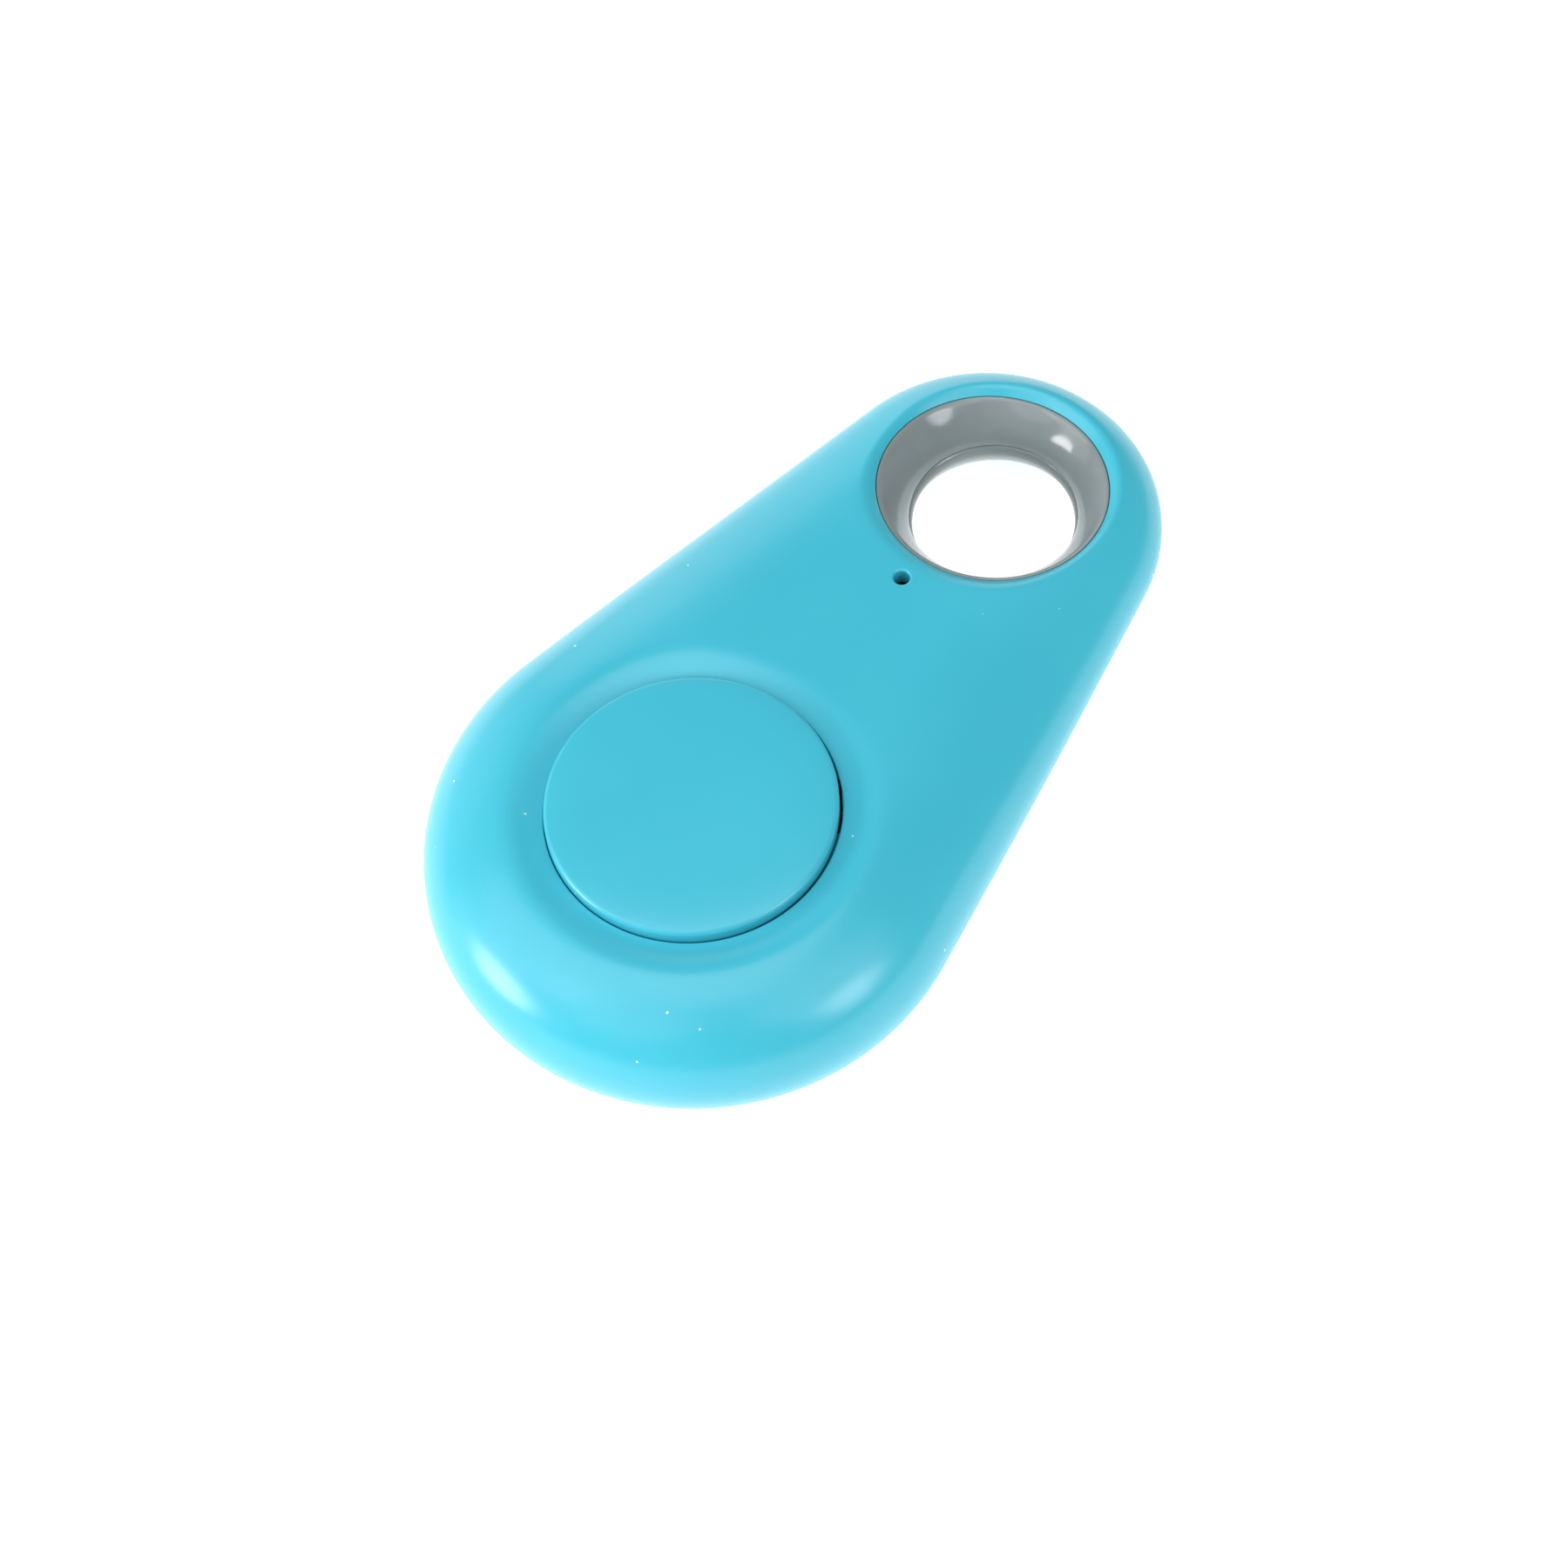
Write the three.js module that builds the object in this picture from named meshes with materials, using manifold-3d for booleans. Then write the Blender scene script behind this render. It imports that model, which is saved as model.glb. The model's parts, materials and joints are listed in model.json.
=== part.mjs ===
// A key-finder tag: a flat pebble with a broad round lobe that holds a coin cell and a press button,
// and a narrower end around an eye for a key ring.
//
// Millimetres. The tag lies on its back: +Z points out of the button, +Y runs along the tag towards
// the eye, and the origin is on the resting plane below the middle of the tag's length.

import * as THREE from "three";
import { mergeVertices } from "three/addons/utils/BufferGeometryUtils.js";
import Module from "manifold-3d";

// ---- driving dimensions -------------------------------------------------------------------------

const LENGTH = 52.0;
const THICKNESS = 11.0;
const LOBE_R = 15.3;
const RING_R = 10.25;
const WALL = 1.2;

const CENTRE_DISTANCE = LENGTH - LOBE_R - RING_R;
const LOBE_Y = LOBE_R - LENGTH / 2;
const RING_Y = LOBE_Y + CENTRE_DISTANCE;
// The flanks are the common tangents of the two end circles.
const FLANK_ANGLE = Math.asin((LOBE_R - RING_R) / CENTRE_DISTANCE);

// Heights: the widest line, the crest over the lobe and over the eye, and the underside.
const MID_Z = 5.4;
const LOBE_CREST_Z = 10.75;
const RING_CREST_Z = 9.8;
const RING_KEEL_Z = 0.95;
const KEEL_START_Y = 4.0;

// The rounded edge, a superellipse quarter on each side of the widest line.
const TOP_EDGE = { width: 8.2, power: 2.22, steps: 8 };
const BACK_EDGE = { width: 5.8, power: 1.95, steps: 6 };
const LOBE_STEPS = 14;
const FLANK_STEPS = 5;
const RING_STEPS = 9;

// The eye: a lined, waisted hole whose rims tilt with the tag's wedge.
const EYE_Y = 16.65;
const EYE_HOLE_R = 6.7;
const EYE_RIM_HEIGHT = 3.0;
const EYE_RIM_SLOPE = 0.11;
const EYE_ROLL = { width: 1.4, height: 1.05, steps: 4 };
const EYE_BACK_HEIGHT = 3.9;
const EYE_BACK_SLOPE = 0.04;
const LINER_RIM_R = 6.5;
const LINER_OUTER_R = 6.6;
const LINER_STEP_R = 5.4;
const LINER_NECK_R = 4.7;
const LINER_TAIL_R = 6.2;
const LINER_STEP_HEIGHT = 0.25;
const LINER_WAIST_HEIGHT = 0.45;
const LINER_LIP = 0.1;
const EYE_SEGMENTS = 48;
const COLLAR_WALL = 0.8;
const COLLAR_Z = MID_Z + 0.8;

// The seam between the two covers, and the lip that centres the rear one.
const PART_Z = 2.0;
const SEAM = 0.15;
const SKIRT_INSET = 2.75;
const LIP_INSET = 3.1;
const LIP_WIDTH = 0.8;
const LIP_TOP_Z = 3.3;
const LIP_END_Y = 7.0;
const PRY_NOTCH = { width: 7, depth: 2.4, y: 1 - LENGTH / 2 };

// The button, and the well that it drops into.
const BUTTON_R = 8.0;
const BUTTON_BASE_Z = 9.8;
const BUTTON_EDGE_Z = 10.84;
const BUTTON_FLAT_R = 5.0;
const BUTTON_FILLET = 0.4;
const BUTTON_SEGMENTS = 56;
const WELL_R = 8.2;
const WELL_FLOOR_Z = 9.3;
const WELL_FLOOR = 0.8;
const WELL_WALL = 0.85;
const DISH = { edge_z: 10.15, width: 2.6, rise: 0.6, steps: 4 };
const BOSS_R = 1.2;
const BOSS_GAP = 0.5;
const BOSS_Z = 8.75;
const HOOK_COUNT = 3;
const HOOK_ANGLE = THREE.MathUtils.degToRad(41);
const HOOK = { width: 1.0, inner_r: 7.3, outer_r: 7.9, barb_r: 6.5, barb_z: 7.9, barb_top_z: 8.3 };
const SLOT = { width: 3.4, inner_r: 7.0, outer_r: 8.15 };

// The sound port, and the circuit board with what stands on it.
const PORT = { y: 8.1, r: 0.48, flare: 0.16, flare_z: 9.8, flare_height: 0.3 };
const BOARD_Z = 5.7;
const BOARD_TOP_Z = 6.5;
const BOARD_INSET = 2.2;
const BOARD_END_Y = 9.6;
const BOARD_EYE_R = 8.1;
const PART_BASE_Z = BOARD_TOP_Z + 0.05;
const POST = { r: 1.0, pin_r: 0.45, hole_r: 0.7, pin_reach: 0.4, places: [[8.6, -18.9], [8.2, 3.5]] };
const REST_POST = { angle: THREE.MathUtils.degToRad(25), distance: 11.5, r: 0.9, top_z: 5.55 };

// The coin cell: 20 mm across and 3.2 mm thick.
const CELL_R = 10.0;
const CELL_Z = 1.9;
const CELL_HEIGHT = 3.2;
const CELL_SEGMENTS = 48;
const CAN = { corner: 0.2, rim: 0.7, rim_drop: 0.2, floor_drop: 0.8 };
const CELL_SEAL = { inner_r: 8.75, outer_r: 9.2, top_drop: 0.1, height: 0.6 };
const CELL_LID = { r: 8.6, top_r: 8.4, height: 0.7, bevel: 0.15 };

const wasm = await Module();
wasm.setup();

// ---- helpers ------------------------------------------------------------------------------------

// A three.js geometry, closed and with shared vertices, as a solid for joining and cutting.
function solid(geometry) {
  const bare = geometry.clone();
  bare.deleteAttribute("normal");
  bare.deleteAttribute("uv");
  const merged = mergeVertices(bare, 1e-4);
  const vertProperties = new Float32Array(merged.attributes.position.array);
  const triVerts = new Uint32Array(merged.index.array);
  return new wasm.Manifold(new wasm.Mesh({ numProp: 3, vertProperties, triVerts }));
}

function geometryOf(body) {
  const mesh = body.getMesh();
  const geometry = new THREE.BufferGeometry();
  geometry.setAttribute("position", new THREE.BufferAttribute(new Float32Array(mesh.vertProperties), 3));
  geometry.setIndex(new THREE.BufferAttribute(new Uint32Array(mesh.triVerts), 1));
  geometry.computeVertexNormals();
  return geometry;
}

function joined(bodies) {
  return bodies.reduce((sum, body) => sum.add(body));
}

// A box from its middle in plan and its two heights.
function block(width, depth, z0, z1, x = 0, y = 0, turn = 0) {
  const geometry = new THREE.BoxGeometry(width, depth, z1 - z0);
  geometry.rotateZ(turn);
  geometry.translate(x, y, (z0 + z1) / 2);
  return geometry;
}

// A turned piece about a vertical axis, from [radius, height] pairs. The pairs start and end on the
// axis, or close on themselves, and run anticlockwise with the radius to the right.
function turned(profile, x = 0, y = 0, segments = 32) {
  const points = profile.map(([radius, height]) => new THREE.Vector2(radius, height));
  const closed = profile[0][0] > 0;
  if (closed) points.push(points[0].clone());
  const geometry = new THREE.LatheGeometry(points, segments);
  geometry.rotateX(Math.PI / 2);
  geometry.translate(x, y, 0);
  return geometry;
}

function disc(radius, z0, z1, x = 0, y = 0, segments = 32) {
  return turned([[0, z0], [radius, z0], [radius, z1], [0, z1]], x, y, segments);
}

function tube(inner, outer, z0, z1, x = 0, y = 0, segments = 32) {
  return turned([[inner, z0], [outer, z0], [outer, z1], [inner, z1]], x, y, segments);
}

// ---- the pebble shape ---------------------------------------------------------------------------

function smooth(value) {
  const t = THREE.MathUtils.clamp(value, 0, 1);
  return t * t * (3 - 2 * t);
}

function crestZ(y) {
  return THREE.MathUtils.lerp(LOBE_CREST_Z, RING_CREST_Z, smooth((y - LOBE_Y) / CENTRE_DISTANCE));
}

function keelZ(y) {
  return RING_KEEL_Z * smooth((y - KEEL_START_Y) / (RING_Y - KEEL_START_Y));
}

// The right half of the plan outline, moved inwards, from the lobe's end to the eye's end.
function outlineRight(inset) {
  const side = [];
  const arc = (radius, centreY, from, to, steps) => {
    for (let i = 0; i <= steps; i += 1) {
      const angle = from + ((to - from) * i) / steps;
      side.push(new THREE.Vector2(radius * Math.cos(angle), centreY + radius * Math.sin(angle)));
    }
  };
  arc(LOBE_R - inset, LOBE_Y, -Math.PI / 2, FLANK_ANGLE, LOBE_STEPS);
  const start = side[side.length - 1];
  const end = new THREE.Vector2(Math.cos(FLANK_ANGLE), Math.sin(FLANK_ANGLE));
  end.multiplyScalar(RING_R - inset).y += RING_Y;
  for (let i = 1; i < FLANK_STEPS; i += 1) {
    side.push(start.clone().lerp(end, i / FLANK_STEPS));
  }
  arc(RING_R - inset, RING_Y, FLANK_ANGLE, Math.PI / 2, RING_STEPS);
  return side;
}

function outline(inset) {
  const right = outlineRight(inset);
  const left = right.slice(1, -1).reverse().map((point) => new THREE.Vector2(-point.x, point.y));
  return right.concat(left);
}

function prism(inset, z0, z1) {
  const geometry = new THREE.ExtrudeGeometry(new THREE.Shape(outline(inset)), {
    depth: z1 - z0,
    bevelEnabled: false,
  });
  return geometry.translate(0, 0, z0);
}

// The whole outer body, or the same body inside a wall: rings of the outline, from the flat back
// round the edge to the top, with both ends closed by strips across the width.
function pebble(wall) {
  const rings = [];
  const addRing = (edge, turn, height) => {
    const along = Math.cos(turn) ** (2 / edge.power);
    const rise = Math.sin(turn) ** (2 / edge.power);
    const inset = wall + (edge.width - wall) * (1 - along);
    rings.push(outline(inset).map((point) => new THREE.Vector3(point.x, point.y, height(point.y, rise))));
  };
  const backZ = (y, rise) => MID_Z - (MID_Z - wall - keelZ(y)) * rise;
  const topZ = (y, rise) => MID_Z + (crestZ(y) - wall - MID_Z) * rise;
  for (let i = BACK_EDGE.steps; i > 0; i -= 1) {
    addRing(BACK_EDGE, (Math.PI / 2) * (i / BACK_EDGE.steps), backZ);
  }
  for (let i = 0; i <= TOP_EDGE.steps; i += 1) {
    addRing(TOP_EDGE, (Math.PI / 2) * (i / TOP_EDGE.steps), topZ);
  }
  const count = rings[0].length;
  const index = [];
  for (let ring = 0; ring + 1 < rings.length; ring += 1) {
    for (let i = 0; i < count; i += 1) {
      const a = ring * count + i;
      const b = ring * count + ((i + 1) % count);
      index.push(a, b, b + count, a, b + count, a + count);
    }
  }
  const last = (rings.length - 1) * count;
  for (let i = 0; i < count / 2; i += 1) {
    const right = [i, i + 1];
    const left = [(count - i) % count, count - i - 1];
    const strip = [];
    if (i > 0) strip.push([right[0], left[0], right[1]]);
    if (i + 1 < count / 2) strip.push([right[1], left[0], left[1]]);
    for (const [a, b, c] of strip) {
      index.push(a, b, c);
      index.push(last + a, last + c, last + b);
    }
  }
  const geometry = new THREE.BufferGeometry().setFromPoints(rings.flat());
  geometry.setIndex(index);
  return geometry;
}

// ---- the eye ------------------------------------------------------------------------------------

// Leans a piece turned about the eye, so that its rim falls towards the tag's end: nothing at the
// widest line, the full slope at the rim. side is +1 above the widest line and -1 below it.
function leaned(geometry, rimHeight, slope, side) {
  const position = geometry.attributes.position;
  for (let i = 0; i < position.count; i += 1) {
    const height = position.getZ(i);
    const share = THREE.MathUtils.clamp(height / rimHeight, 0, 1);
    position.setZ(i, MID_Z + side * (height - slope * position.getY(i) * share));
  }
  if (side < 0) {
    const index = geometry.index.array;
    for (let i = 0; i < index.length; i += 3) {
      [index[i], index[i + 1]] = [index[i + 1], index[i]];
    }
  }
  return geometry.translate(0, EYE_Y, 0);
}

// The cutter for a cover's eye: a hole whose mouth rolls outwards. Heights count from the widest line.
function eyeCutter(rimHeight, slope, side) {
  const reach = rimHeight + 8;
  const profile = [[0, -1], [EYE_HOLE_R, -1]];
  for (let i = 0; i <= EYE_ROLL.steps; i += 1) {
    const turn = (Math.PI / 2) * (i / EYE_ROLL.steps);
    profile.push([
      EYE_HOLE_R + EYE_ROLL.width * (1 - Math.cos(turn)),
      rimHeight + EYE_ROLL.height * Math.sin(turn),
    ]);
  }
  profile.push([EYE_HOLE_R + EYE_ROLL.width, reach], [0, reach]);
  return leaned(turned(profile, 0, 0, EYE_SEGMENTS), rimHeight, slope, side);
}

// The front half of the liner, flared towards its rim.
function linerFront() {
  const flare = LINER_RIM_R - LINER_STEP_R;
  const inside = [];
  for (let i = 6; i >= 0; i -= 1) {
    const share = i / 6;
    inside.push([
      LINER_STEP_R + flare * share ** 2,
      LINER_STEP_HEIGHT + (EYE_RIM_HEIGHT - LINER_STEP_HEIGHT) * share,
    ]);
  }
  const outside = [
    [LINER_TAIL_R, LINER_STEP_HEIGHT],
    [LINER_OUTER_R, LINER_STEP_HEIGHT + 1],
    [LINER_OUTER_R, EYE_RIM_HEIGHT - LINER_LIP],
  ];
  const profile = [...outside, ...inside];
  return leaned(turned(profile, 0, 0, EYE_SEGMENTS), EYE_RIM_HEIGHT, EYE_RIM_SLOPE, 1);
}

// The rear half's neck stands inside the front half's end, which makes the step at the waist. Its
// heights count downwards from the widest line, so its top edge has a negative one.
function linerRear() {
  const top = SEAM - LINER_STEP_HEIGHT;
  const waist = LINER_WAIST_HEIGHT;
  const flare = LINER_RIM_R - LINER_NECK_R;
  const inside = [];
  for (let i = 5; i >= 0; i -= 1) {
    const share = i / 5;
    inside.push([LINER_NECK_R + flare * share ** 1.4, waist + (EYE_BACK_HEIGHT - waist) * share]);
  }
  for (let i = 1; i <= 3; i += 1) {
    const turn = (Math.PI / 2) * (i / 3);
    inside.push([LINER_NECK_R + 0.3 * (1 - Math.cos(turn)), waist + (top - waist) * Math.sin(turn)]);
  }
  const profile = [[LINER_TAIL_R, top], [LINER_OUTER_R, EYE_BACK_HEIGHT - LINER_LIP], ...inside];
  return leaned(turned(profile, 0, 0, EYE_SEGMENTS), EYE_BACK_HEIGHT, EYE_BACK_SLOPE, -1);
}

// ---- the covers ---------------------------------------------------------------------------------

// What removes the button's well and the shallow dish around its mouth.
function wellCutter() {
  const profile = [[0, WELL_FLOOR_Z], [WELL_R, WELL_FLOOR_Z]];
  for (let i = 0; i <= DISH.steps; i += 1) {
    const share = i / DISH.steps;
    profile.push([WELL_R + DISH.width * share, DISH.edge_z + DISH.rise * smooth(share)]);
  }
  profile.push([WELL_R + DISH.width, THICKNESS + 2], [0, THICKNESS + 2]);
  return turned(profile, 0, LOBE_Y, BUTTON_SEGMENTS);
}

function hookAngles() {
  return Array.from({ length: HOOK_COUNT }, (_, i) => HOOK_ANGLE + (i * 2 * Math.PI) / HOOK_COUNT);
}

// A box between two radii from the lobe's axis, at one angle around it.
function radialBlock(angle, innerR, outerR, width, z0, z1) {
  const middle = (innerR + outerR) / 2;
  const x = middle * Math.cos(angle);
  const y = LOBE_Y + middle * Math.sin(angle);
  return block(outerR - innerR, width, z0, z1, x, y, angle);
}

function postPlaces() {
  return POST.places.flatMap(([x, y]) => [[x, y], [-x, y]]);
}

// The front: the shell above the seam with the button's well, the eye's collar, four posts that pin
// the board, the sound port and the slots that the button's hooks drop through.
function frontCover() {
  const above = solid(block(2 * LENGTH, 2 * LENGTH, PART_Z, 2 * THICKNESS));
  const hollow = solid(pebble(WALL)).add(solid(prism(SKIRT_INSET, 0, LIP_TOP_Z + SEAM)));
  const shell = solid(pebble(0)).intersect(above).subtract(hollow);
  const wellR = WELL_R + WELL_WALL;
  const collarR = EYE_HOLE_R + COLLAR_WALL;
  const well = solid(disc(wellR, WELL_FLOOR_Z - WELL_FLOOR, THICKNESS, 0, LOBE_Y, BUTTON_SEGMENTS));
  const collar = solid(disc(collarR, COLLAR_Z, THICKNESS, 0, EYE_Y, EYE_SEGMENTS));
  const posts = postPlaces().map(([x, y]) =>
    solid(disc(POST.r, BOARD_TOP_Z + SEAM, THICKNESS, x, y, 16)).add(
      solid(disc(POST.pin_r, BOARD_Z - POST.pin_reach, BOARD_TOP_Z + 1, x, y, 12)),
    ),
  );
  const fittings = joined([well, collar, ...posts]).intersect(solid(pebble(WALL / 2)));
  const flareTopZ = PORT.flare_z + PORT.flare_height;
  const mouthR = PORT.r + PORT.flare;
  const port = turned(
    [
      [0, MID_Z],
      [PORT.r, MID_Z],
      [PORT.r, PORT.flare_z],
      [mouthR, flareTopZ],
      [mouthR, THICKNESS],
      [0, THICKNESS],
    ],
    0,
    PORT.y,
    20,
  );
  const slots = hookAngles().map((angle) =>
    solid(radialBlock(angle, SLOT.inner_r, SLOT.outer_r, SLOT.width, MID_Z, WELL_FLOOR_Z + 0.2)),
  );
  const cuts = joined([
    solid(wellCutter()),
    solid(eyeCutter(EYE_RIM_HEIGHT, EYE_RIM_SLOPE, 1)),
    solid(disc(BOSS_R + BOSS_GAP, MID_Z, WELL_FLOOR_Z + 0.2, 0, LOBE_Y, 24)),
    solid(port),
    ...slots,
  ]);
  return geometryOf(shell.add(fittings).subtract(cuts));
}

// The back: the shell below the seam, the lip that stands inside the front, and four rests for the
// board beside the cell.
function rearCover() {
  const below = solid(block(2 * LENGTH, 2 * LENGTH, -THICKNESS, PART_Z - SEAM));
  const shell = solid(pebble(0)).subtract(solid(pebble(WALL))).intersect(below);
  const rootZ = WALL - 0.4;
  const lip = solid(prism(LIP_INSET, rootZ, LIP_TOP_Z))
    .subtract(solid(prism(LIP_INSET + LIP_WIDTH, 0, LIP_TOP_Z + 1)))
    .subtract(solid(block(LENGTH, LENGTH, 0, THICKNESS, 0, LIP_END_Y + LENGTH / 2)));
  const posts = [];
  for (const sideX of [-1, 1]) {
    for (const sideY of [-1, 1]) {
      const x = sideX * REST_POST.distance * Math.cos(REST_POST.angle);
      const y = LOBE_Y + sideY * REST_POST.distance * Math.sin(REST_POST.angle);
      posts.push(solid(disc(REST_POST.r, rootZ, REST_POST.top_z, x, y, 16)));
    }
  }
  const pryNotch = solid(block(PRY_NOTCH.width, PRY_NOTCH.depth, WALL, PART_Z + 1, 0, PRY_NOTCH.y));
  const eye = solid(eyeCutter(EYE_BACK_HEIGHT, EYE_BACK_SLOPE, -1));
  return geometryOf(joined([shell, lip, ...posts]).subtract(pryNotch).subtract(eye));
}

// The button: a slightly domed disc with a boss over the switch and hooks that stop it lifting out.
function buttonCap() {
  const rim = BUTTON_R - BUTTON_FILLET;
  const cap = solid(
    turned(
      [
        [0, BOSS_Z],
        [BOSS_R, BOSS_Z],
        [BOSS_R, BUTTON_BASE_Z],
        [BUTTON_R, BUTTON_BASE_Z],
        [BUTTON_R, BUTTON_EDGE_Z - BUTTON_FILLET],
        [BUTTON_R - BUTTON_FILLET * 0.15, BUTTON_EDGE_Z - BUTTON_FILLET * 0.55],
        [BUTTON_R - BUTTON_FILLET * 0.45, BUTTON_EDGE_Z - BUTTON_FILLET * 0.2],
        [rim, BUTTON_EDGE_Z],
        [(rim + BUTTON_FLAT_R) / 2, THICKNESS - 0.04],
        [BUTTON_FLAT_R, THICKNESS],
        [0, THICKNESS],
      ],
      0,
      LOBE_Y,
      BUTTON_SEGMENTS,
    ),
  );
  const hooks = hookAngles().map((angle) => {
    const stem = radialBlock(angle, HOOK.inner_r, HOOK.outer_r, HOOK.width, HOOK.barb_z, BUTTON_BASE_Z + 0.3);
    const barb = radialBlock(angle, HOOK.barb_r, HOOK.outer_r, HOOK.width, HOOK.barb_z, HOOK.barb_top_z);
    return solid(stem).add(solid(barb));
  });
  return geometryOf(joined([cap, ...hooks]));
}

// ---- inside -------------------------------------------------------------------------------------

function circuitBoard() {
  const below = BOARD_Z - 1;
  const above = BOARD_TOP_Z + 1;
  const holes = postPlaces().map(([x, y]) => solid(disc(POST.hole_r, below, above, x, y, 16)));
  const board = solid(prism(BOARD_INSET, BOARD_Z, BOARD_TOP_Z))
    .intersect(solid(block(LENGTH, LENGTH, below, above, 0, BOARD_END_Y - LENGTH / 2)))
    .subtract(solid(disc(BOARD_EYE_R, below, above, 0, EYE_Y, EYE_SEGMENTS)))
    .subtract(joined(holes));
  return geometryOf(board);
}

// The can, a cup whose rim stands round the seal and the lid.
function cellCan() {
  const top = CELL_Z + CELL_HEIGHT;
  const rimTop = top - CAN.rim_drop;
  const rimR = CELL_R - CAN.rim;
  const profile = [
    [0, CELL_Z],
    [CELL_R - CAN.corner, CELL_Z],
    [CELL_R, CELL_Z + CAN.corner],
    [CELL_R, rimTop - CAN.corner],
    [CELL_R - CAN.corner, rimTop],
    [rimR, rimTop],
    [rimR, top - CAN.floor_drop],
    [0, top - CAN.floor_drop],
  ];
  return turned(profile, 0, LOBE_Y, CELL_SEGMENTS);
}

function cellSeal() {
  const top = CELL_Z + CELL_HEIGHT - CELL_SEAL.top_drop;
  const { inner_r: inner, outer_r: outer, height } = CELL_SEAL;
  return tube(inner, outer, top - height, top, 0, LOBE_Y, CELL_SEGMENTS);
}

function cellLid() {
  const top = CELL_Z + CELL_HEIGHT;
  const profile = [
    [0, top - CELL_LID.height],
    [CELL_LID.r, top - CELL_LID.height],
    [CELL_LID.r, top - CELL_LID.bevel],
    [CELL_LID.top_r, top],
    [0, top],
  ];
  return turned(profile, 0, LOBE_Y, CELL_SEGMENTS);
}

// The spring strap under the cell, with a leg and a soldered foot at each side, and two dimples that
// press on the cell either side of a window.
const STRAP = {
  sheet: 0.25,
  width: 4,
  leg_x: CELL_R + 0.45,
  bottom_z: CELL_Z - 0.45,
  foot_top_z: BOARD_Z - 0.1,
  foot_length: 1.3,
  dimple_x: 5,
  dimple_r: 1.1,
  dimple_tip_r: 0.5,
  dimple_gap: 0.07,
  window: [5, 1.6],
};

function cellStrap() {
  const { sheet, width, leg_x: legX, bottom_z: bottom, foot_top_z: footTop } = STRAP;
  const tipZ = CELL_Z - STRAP.dimple_gap;
  const rootZ = bottom + sheet - 0.1;
  const footX = legX + (STRAP.foot_length - sheet) / 2;
  const dimple = [[0, rootZ], [STRAP.dimple_r, rootZ], [STRAP.dimple_tip_r, tipZ], [0, tipZ]];
  const pieces = [solid(block(2 * legX + sheet, width, bottom, bottom + sheet, 0, LOBE_Y))];
  for (const side of [-1, 1]) {
    pieces.push(solid(block(sheet, width, bottom, footTop, side * legX, LOBE_Y)));
    pieces.push(solid(block(STRAP.foot_length, width, footTop - sheet, footTop, side * footX, LOBE_Y)));
    pieces.push(solid(turned(dimple, side * STRAP.dimple_x, LOBE_Y, 16)));
  }
  const [windowWidth, windowDepth] = STRAP.window;
  const window = solid(block(windowWidth, windowDepth, 0, CELL_Z + 1, 0, LOBE_Y));
  return geometryOf(joined(pieces).subtract(window));
}

// The contact plate under the board, with three bumps towards the cell's lid.
const CONTACT = {
  width: 7,
  depth: 5,
  sheet: 0.15,
  top_z: BOARD_Z - 0.1,
  bump_tip_z: CELL_Z + CELL_HEIGHT + 0.1,
  bump_tip_r: 0.35,
  bump_r: 0.8,
  bumps: [[-2.2, 0], [1.1, 1.5], [1.1, -1.5]],
};

function cellContact() {
  const plateZ = CONTACT.top_z - CONTACT.sheet;
  const rootZ = plateZ + CONTACT.sheet / 3;
  const tipZ = CONTACT.bump_tip_z;
  const profile = [[0, tipZ], [CONTACT.bump_tip_r, tipZ], [CONTACT.bump_r, rootZ], [0, rootZ]];
  const plate = solid(block(CONTACT.width, CONTACT.depth, plateZ, CONTACT.top_z, 0, LOBE_Y));
  const bumps = CONTACT.bumps.map(([x, y]) => solid(turned(profile, x, LOBE_Y + y, 16)));
  return geometryOf(joined([plate, ...bumps]));
}

// The tactile switch: base, snap dome, plunger and the frame that holds the plunger in.
const SWITCH = {
  size: 4.6,
  top_z: 7.85,
  well_r: 1.75,
  well_z: 6.95,
  dome_r: 1.55,
  dome_z: 7.0,
  dome_sheet: 0.06,
  dome_rise: 0.19,
  collar_r: 1.5,
  collar_z: 7.55,
  collar_top_z: 7.78,
  stem_r: 1.0,
  stem_top_z: 8.7,
  frame_hole_r: 1.15,
  frame_gap: 0.05,
  frame_sheet: 0.15,
  terminal: 0.7,
  terminal_height: 0.3,
  terminal_y: 1.5,
};

function switchBase() {
  const well = solid(disc(SWITCH.well_r, SWITCH.well_z, THICKNESS, 0, LOBE_Y, 24));
  const base = solid(block(SWITCH.size, SWITCH.size, PART_BASE_Z, SWITCH.top_z, 0, LOBE_Y));
  return geometryOf(base.subtract(well));
}

function switchDome() {
  const { dome_r: rim, dome_z: low, dome_sheet: sheet, dome_rise: rise } = SWITCH;
  const shoulderR = rim * 0.53;
  const shoulderZ = low + rise * 0.75;
  const under = [[0, low + rise], [shoulderR, shoulderZ], [rim - 0.15, low], [rim, low]];
  const over = [[rim, low + sheet], [shoulderR, shoulderZ + sheet], [0, low + rise + sheet]];
  return turned([...under, ...over], 0, LOBE_Y, 24);
}

function switchPlunger() {
  const { stem_r: stemR, stem_top_z: top } = SWITCH;
  const collar = [
    [0, SWITCH.collar_z],
    [SWITCH.collar_r, SWITCH.collar_z],
    [SWITCH.collar_r, SWITCH.collar_top_z],
  ];
  const stem = [[stemR, SWITCH.collar_top_z], [stemR, top - 0.1], [stemR - 0.1, top], [0, top]];
  return turned([...collar, ...stem], 0, LOBE_Y, 24);
}

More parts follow.
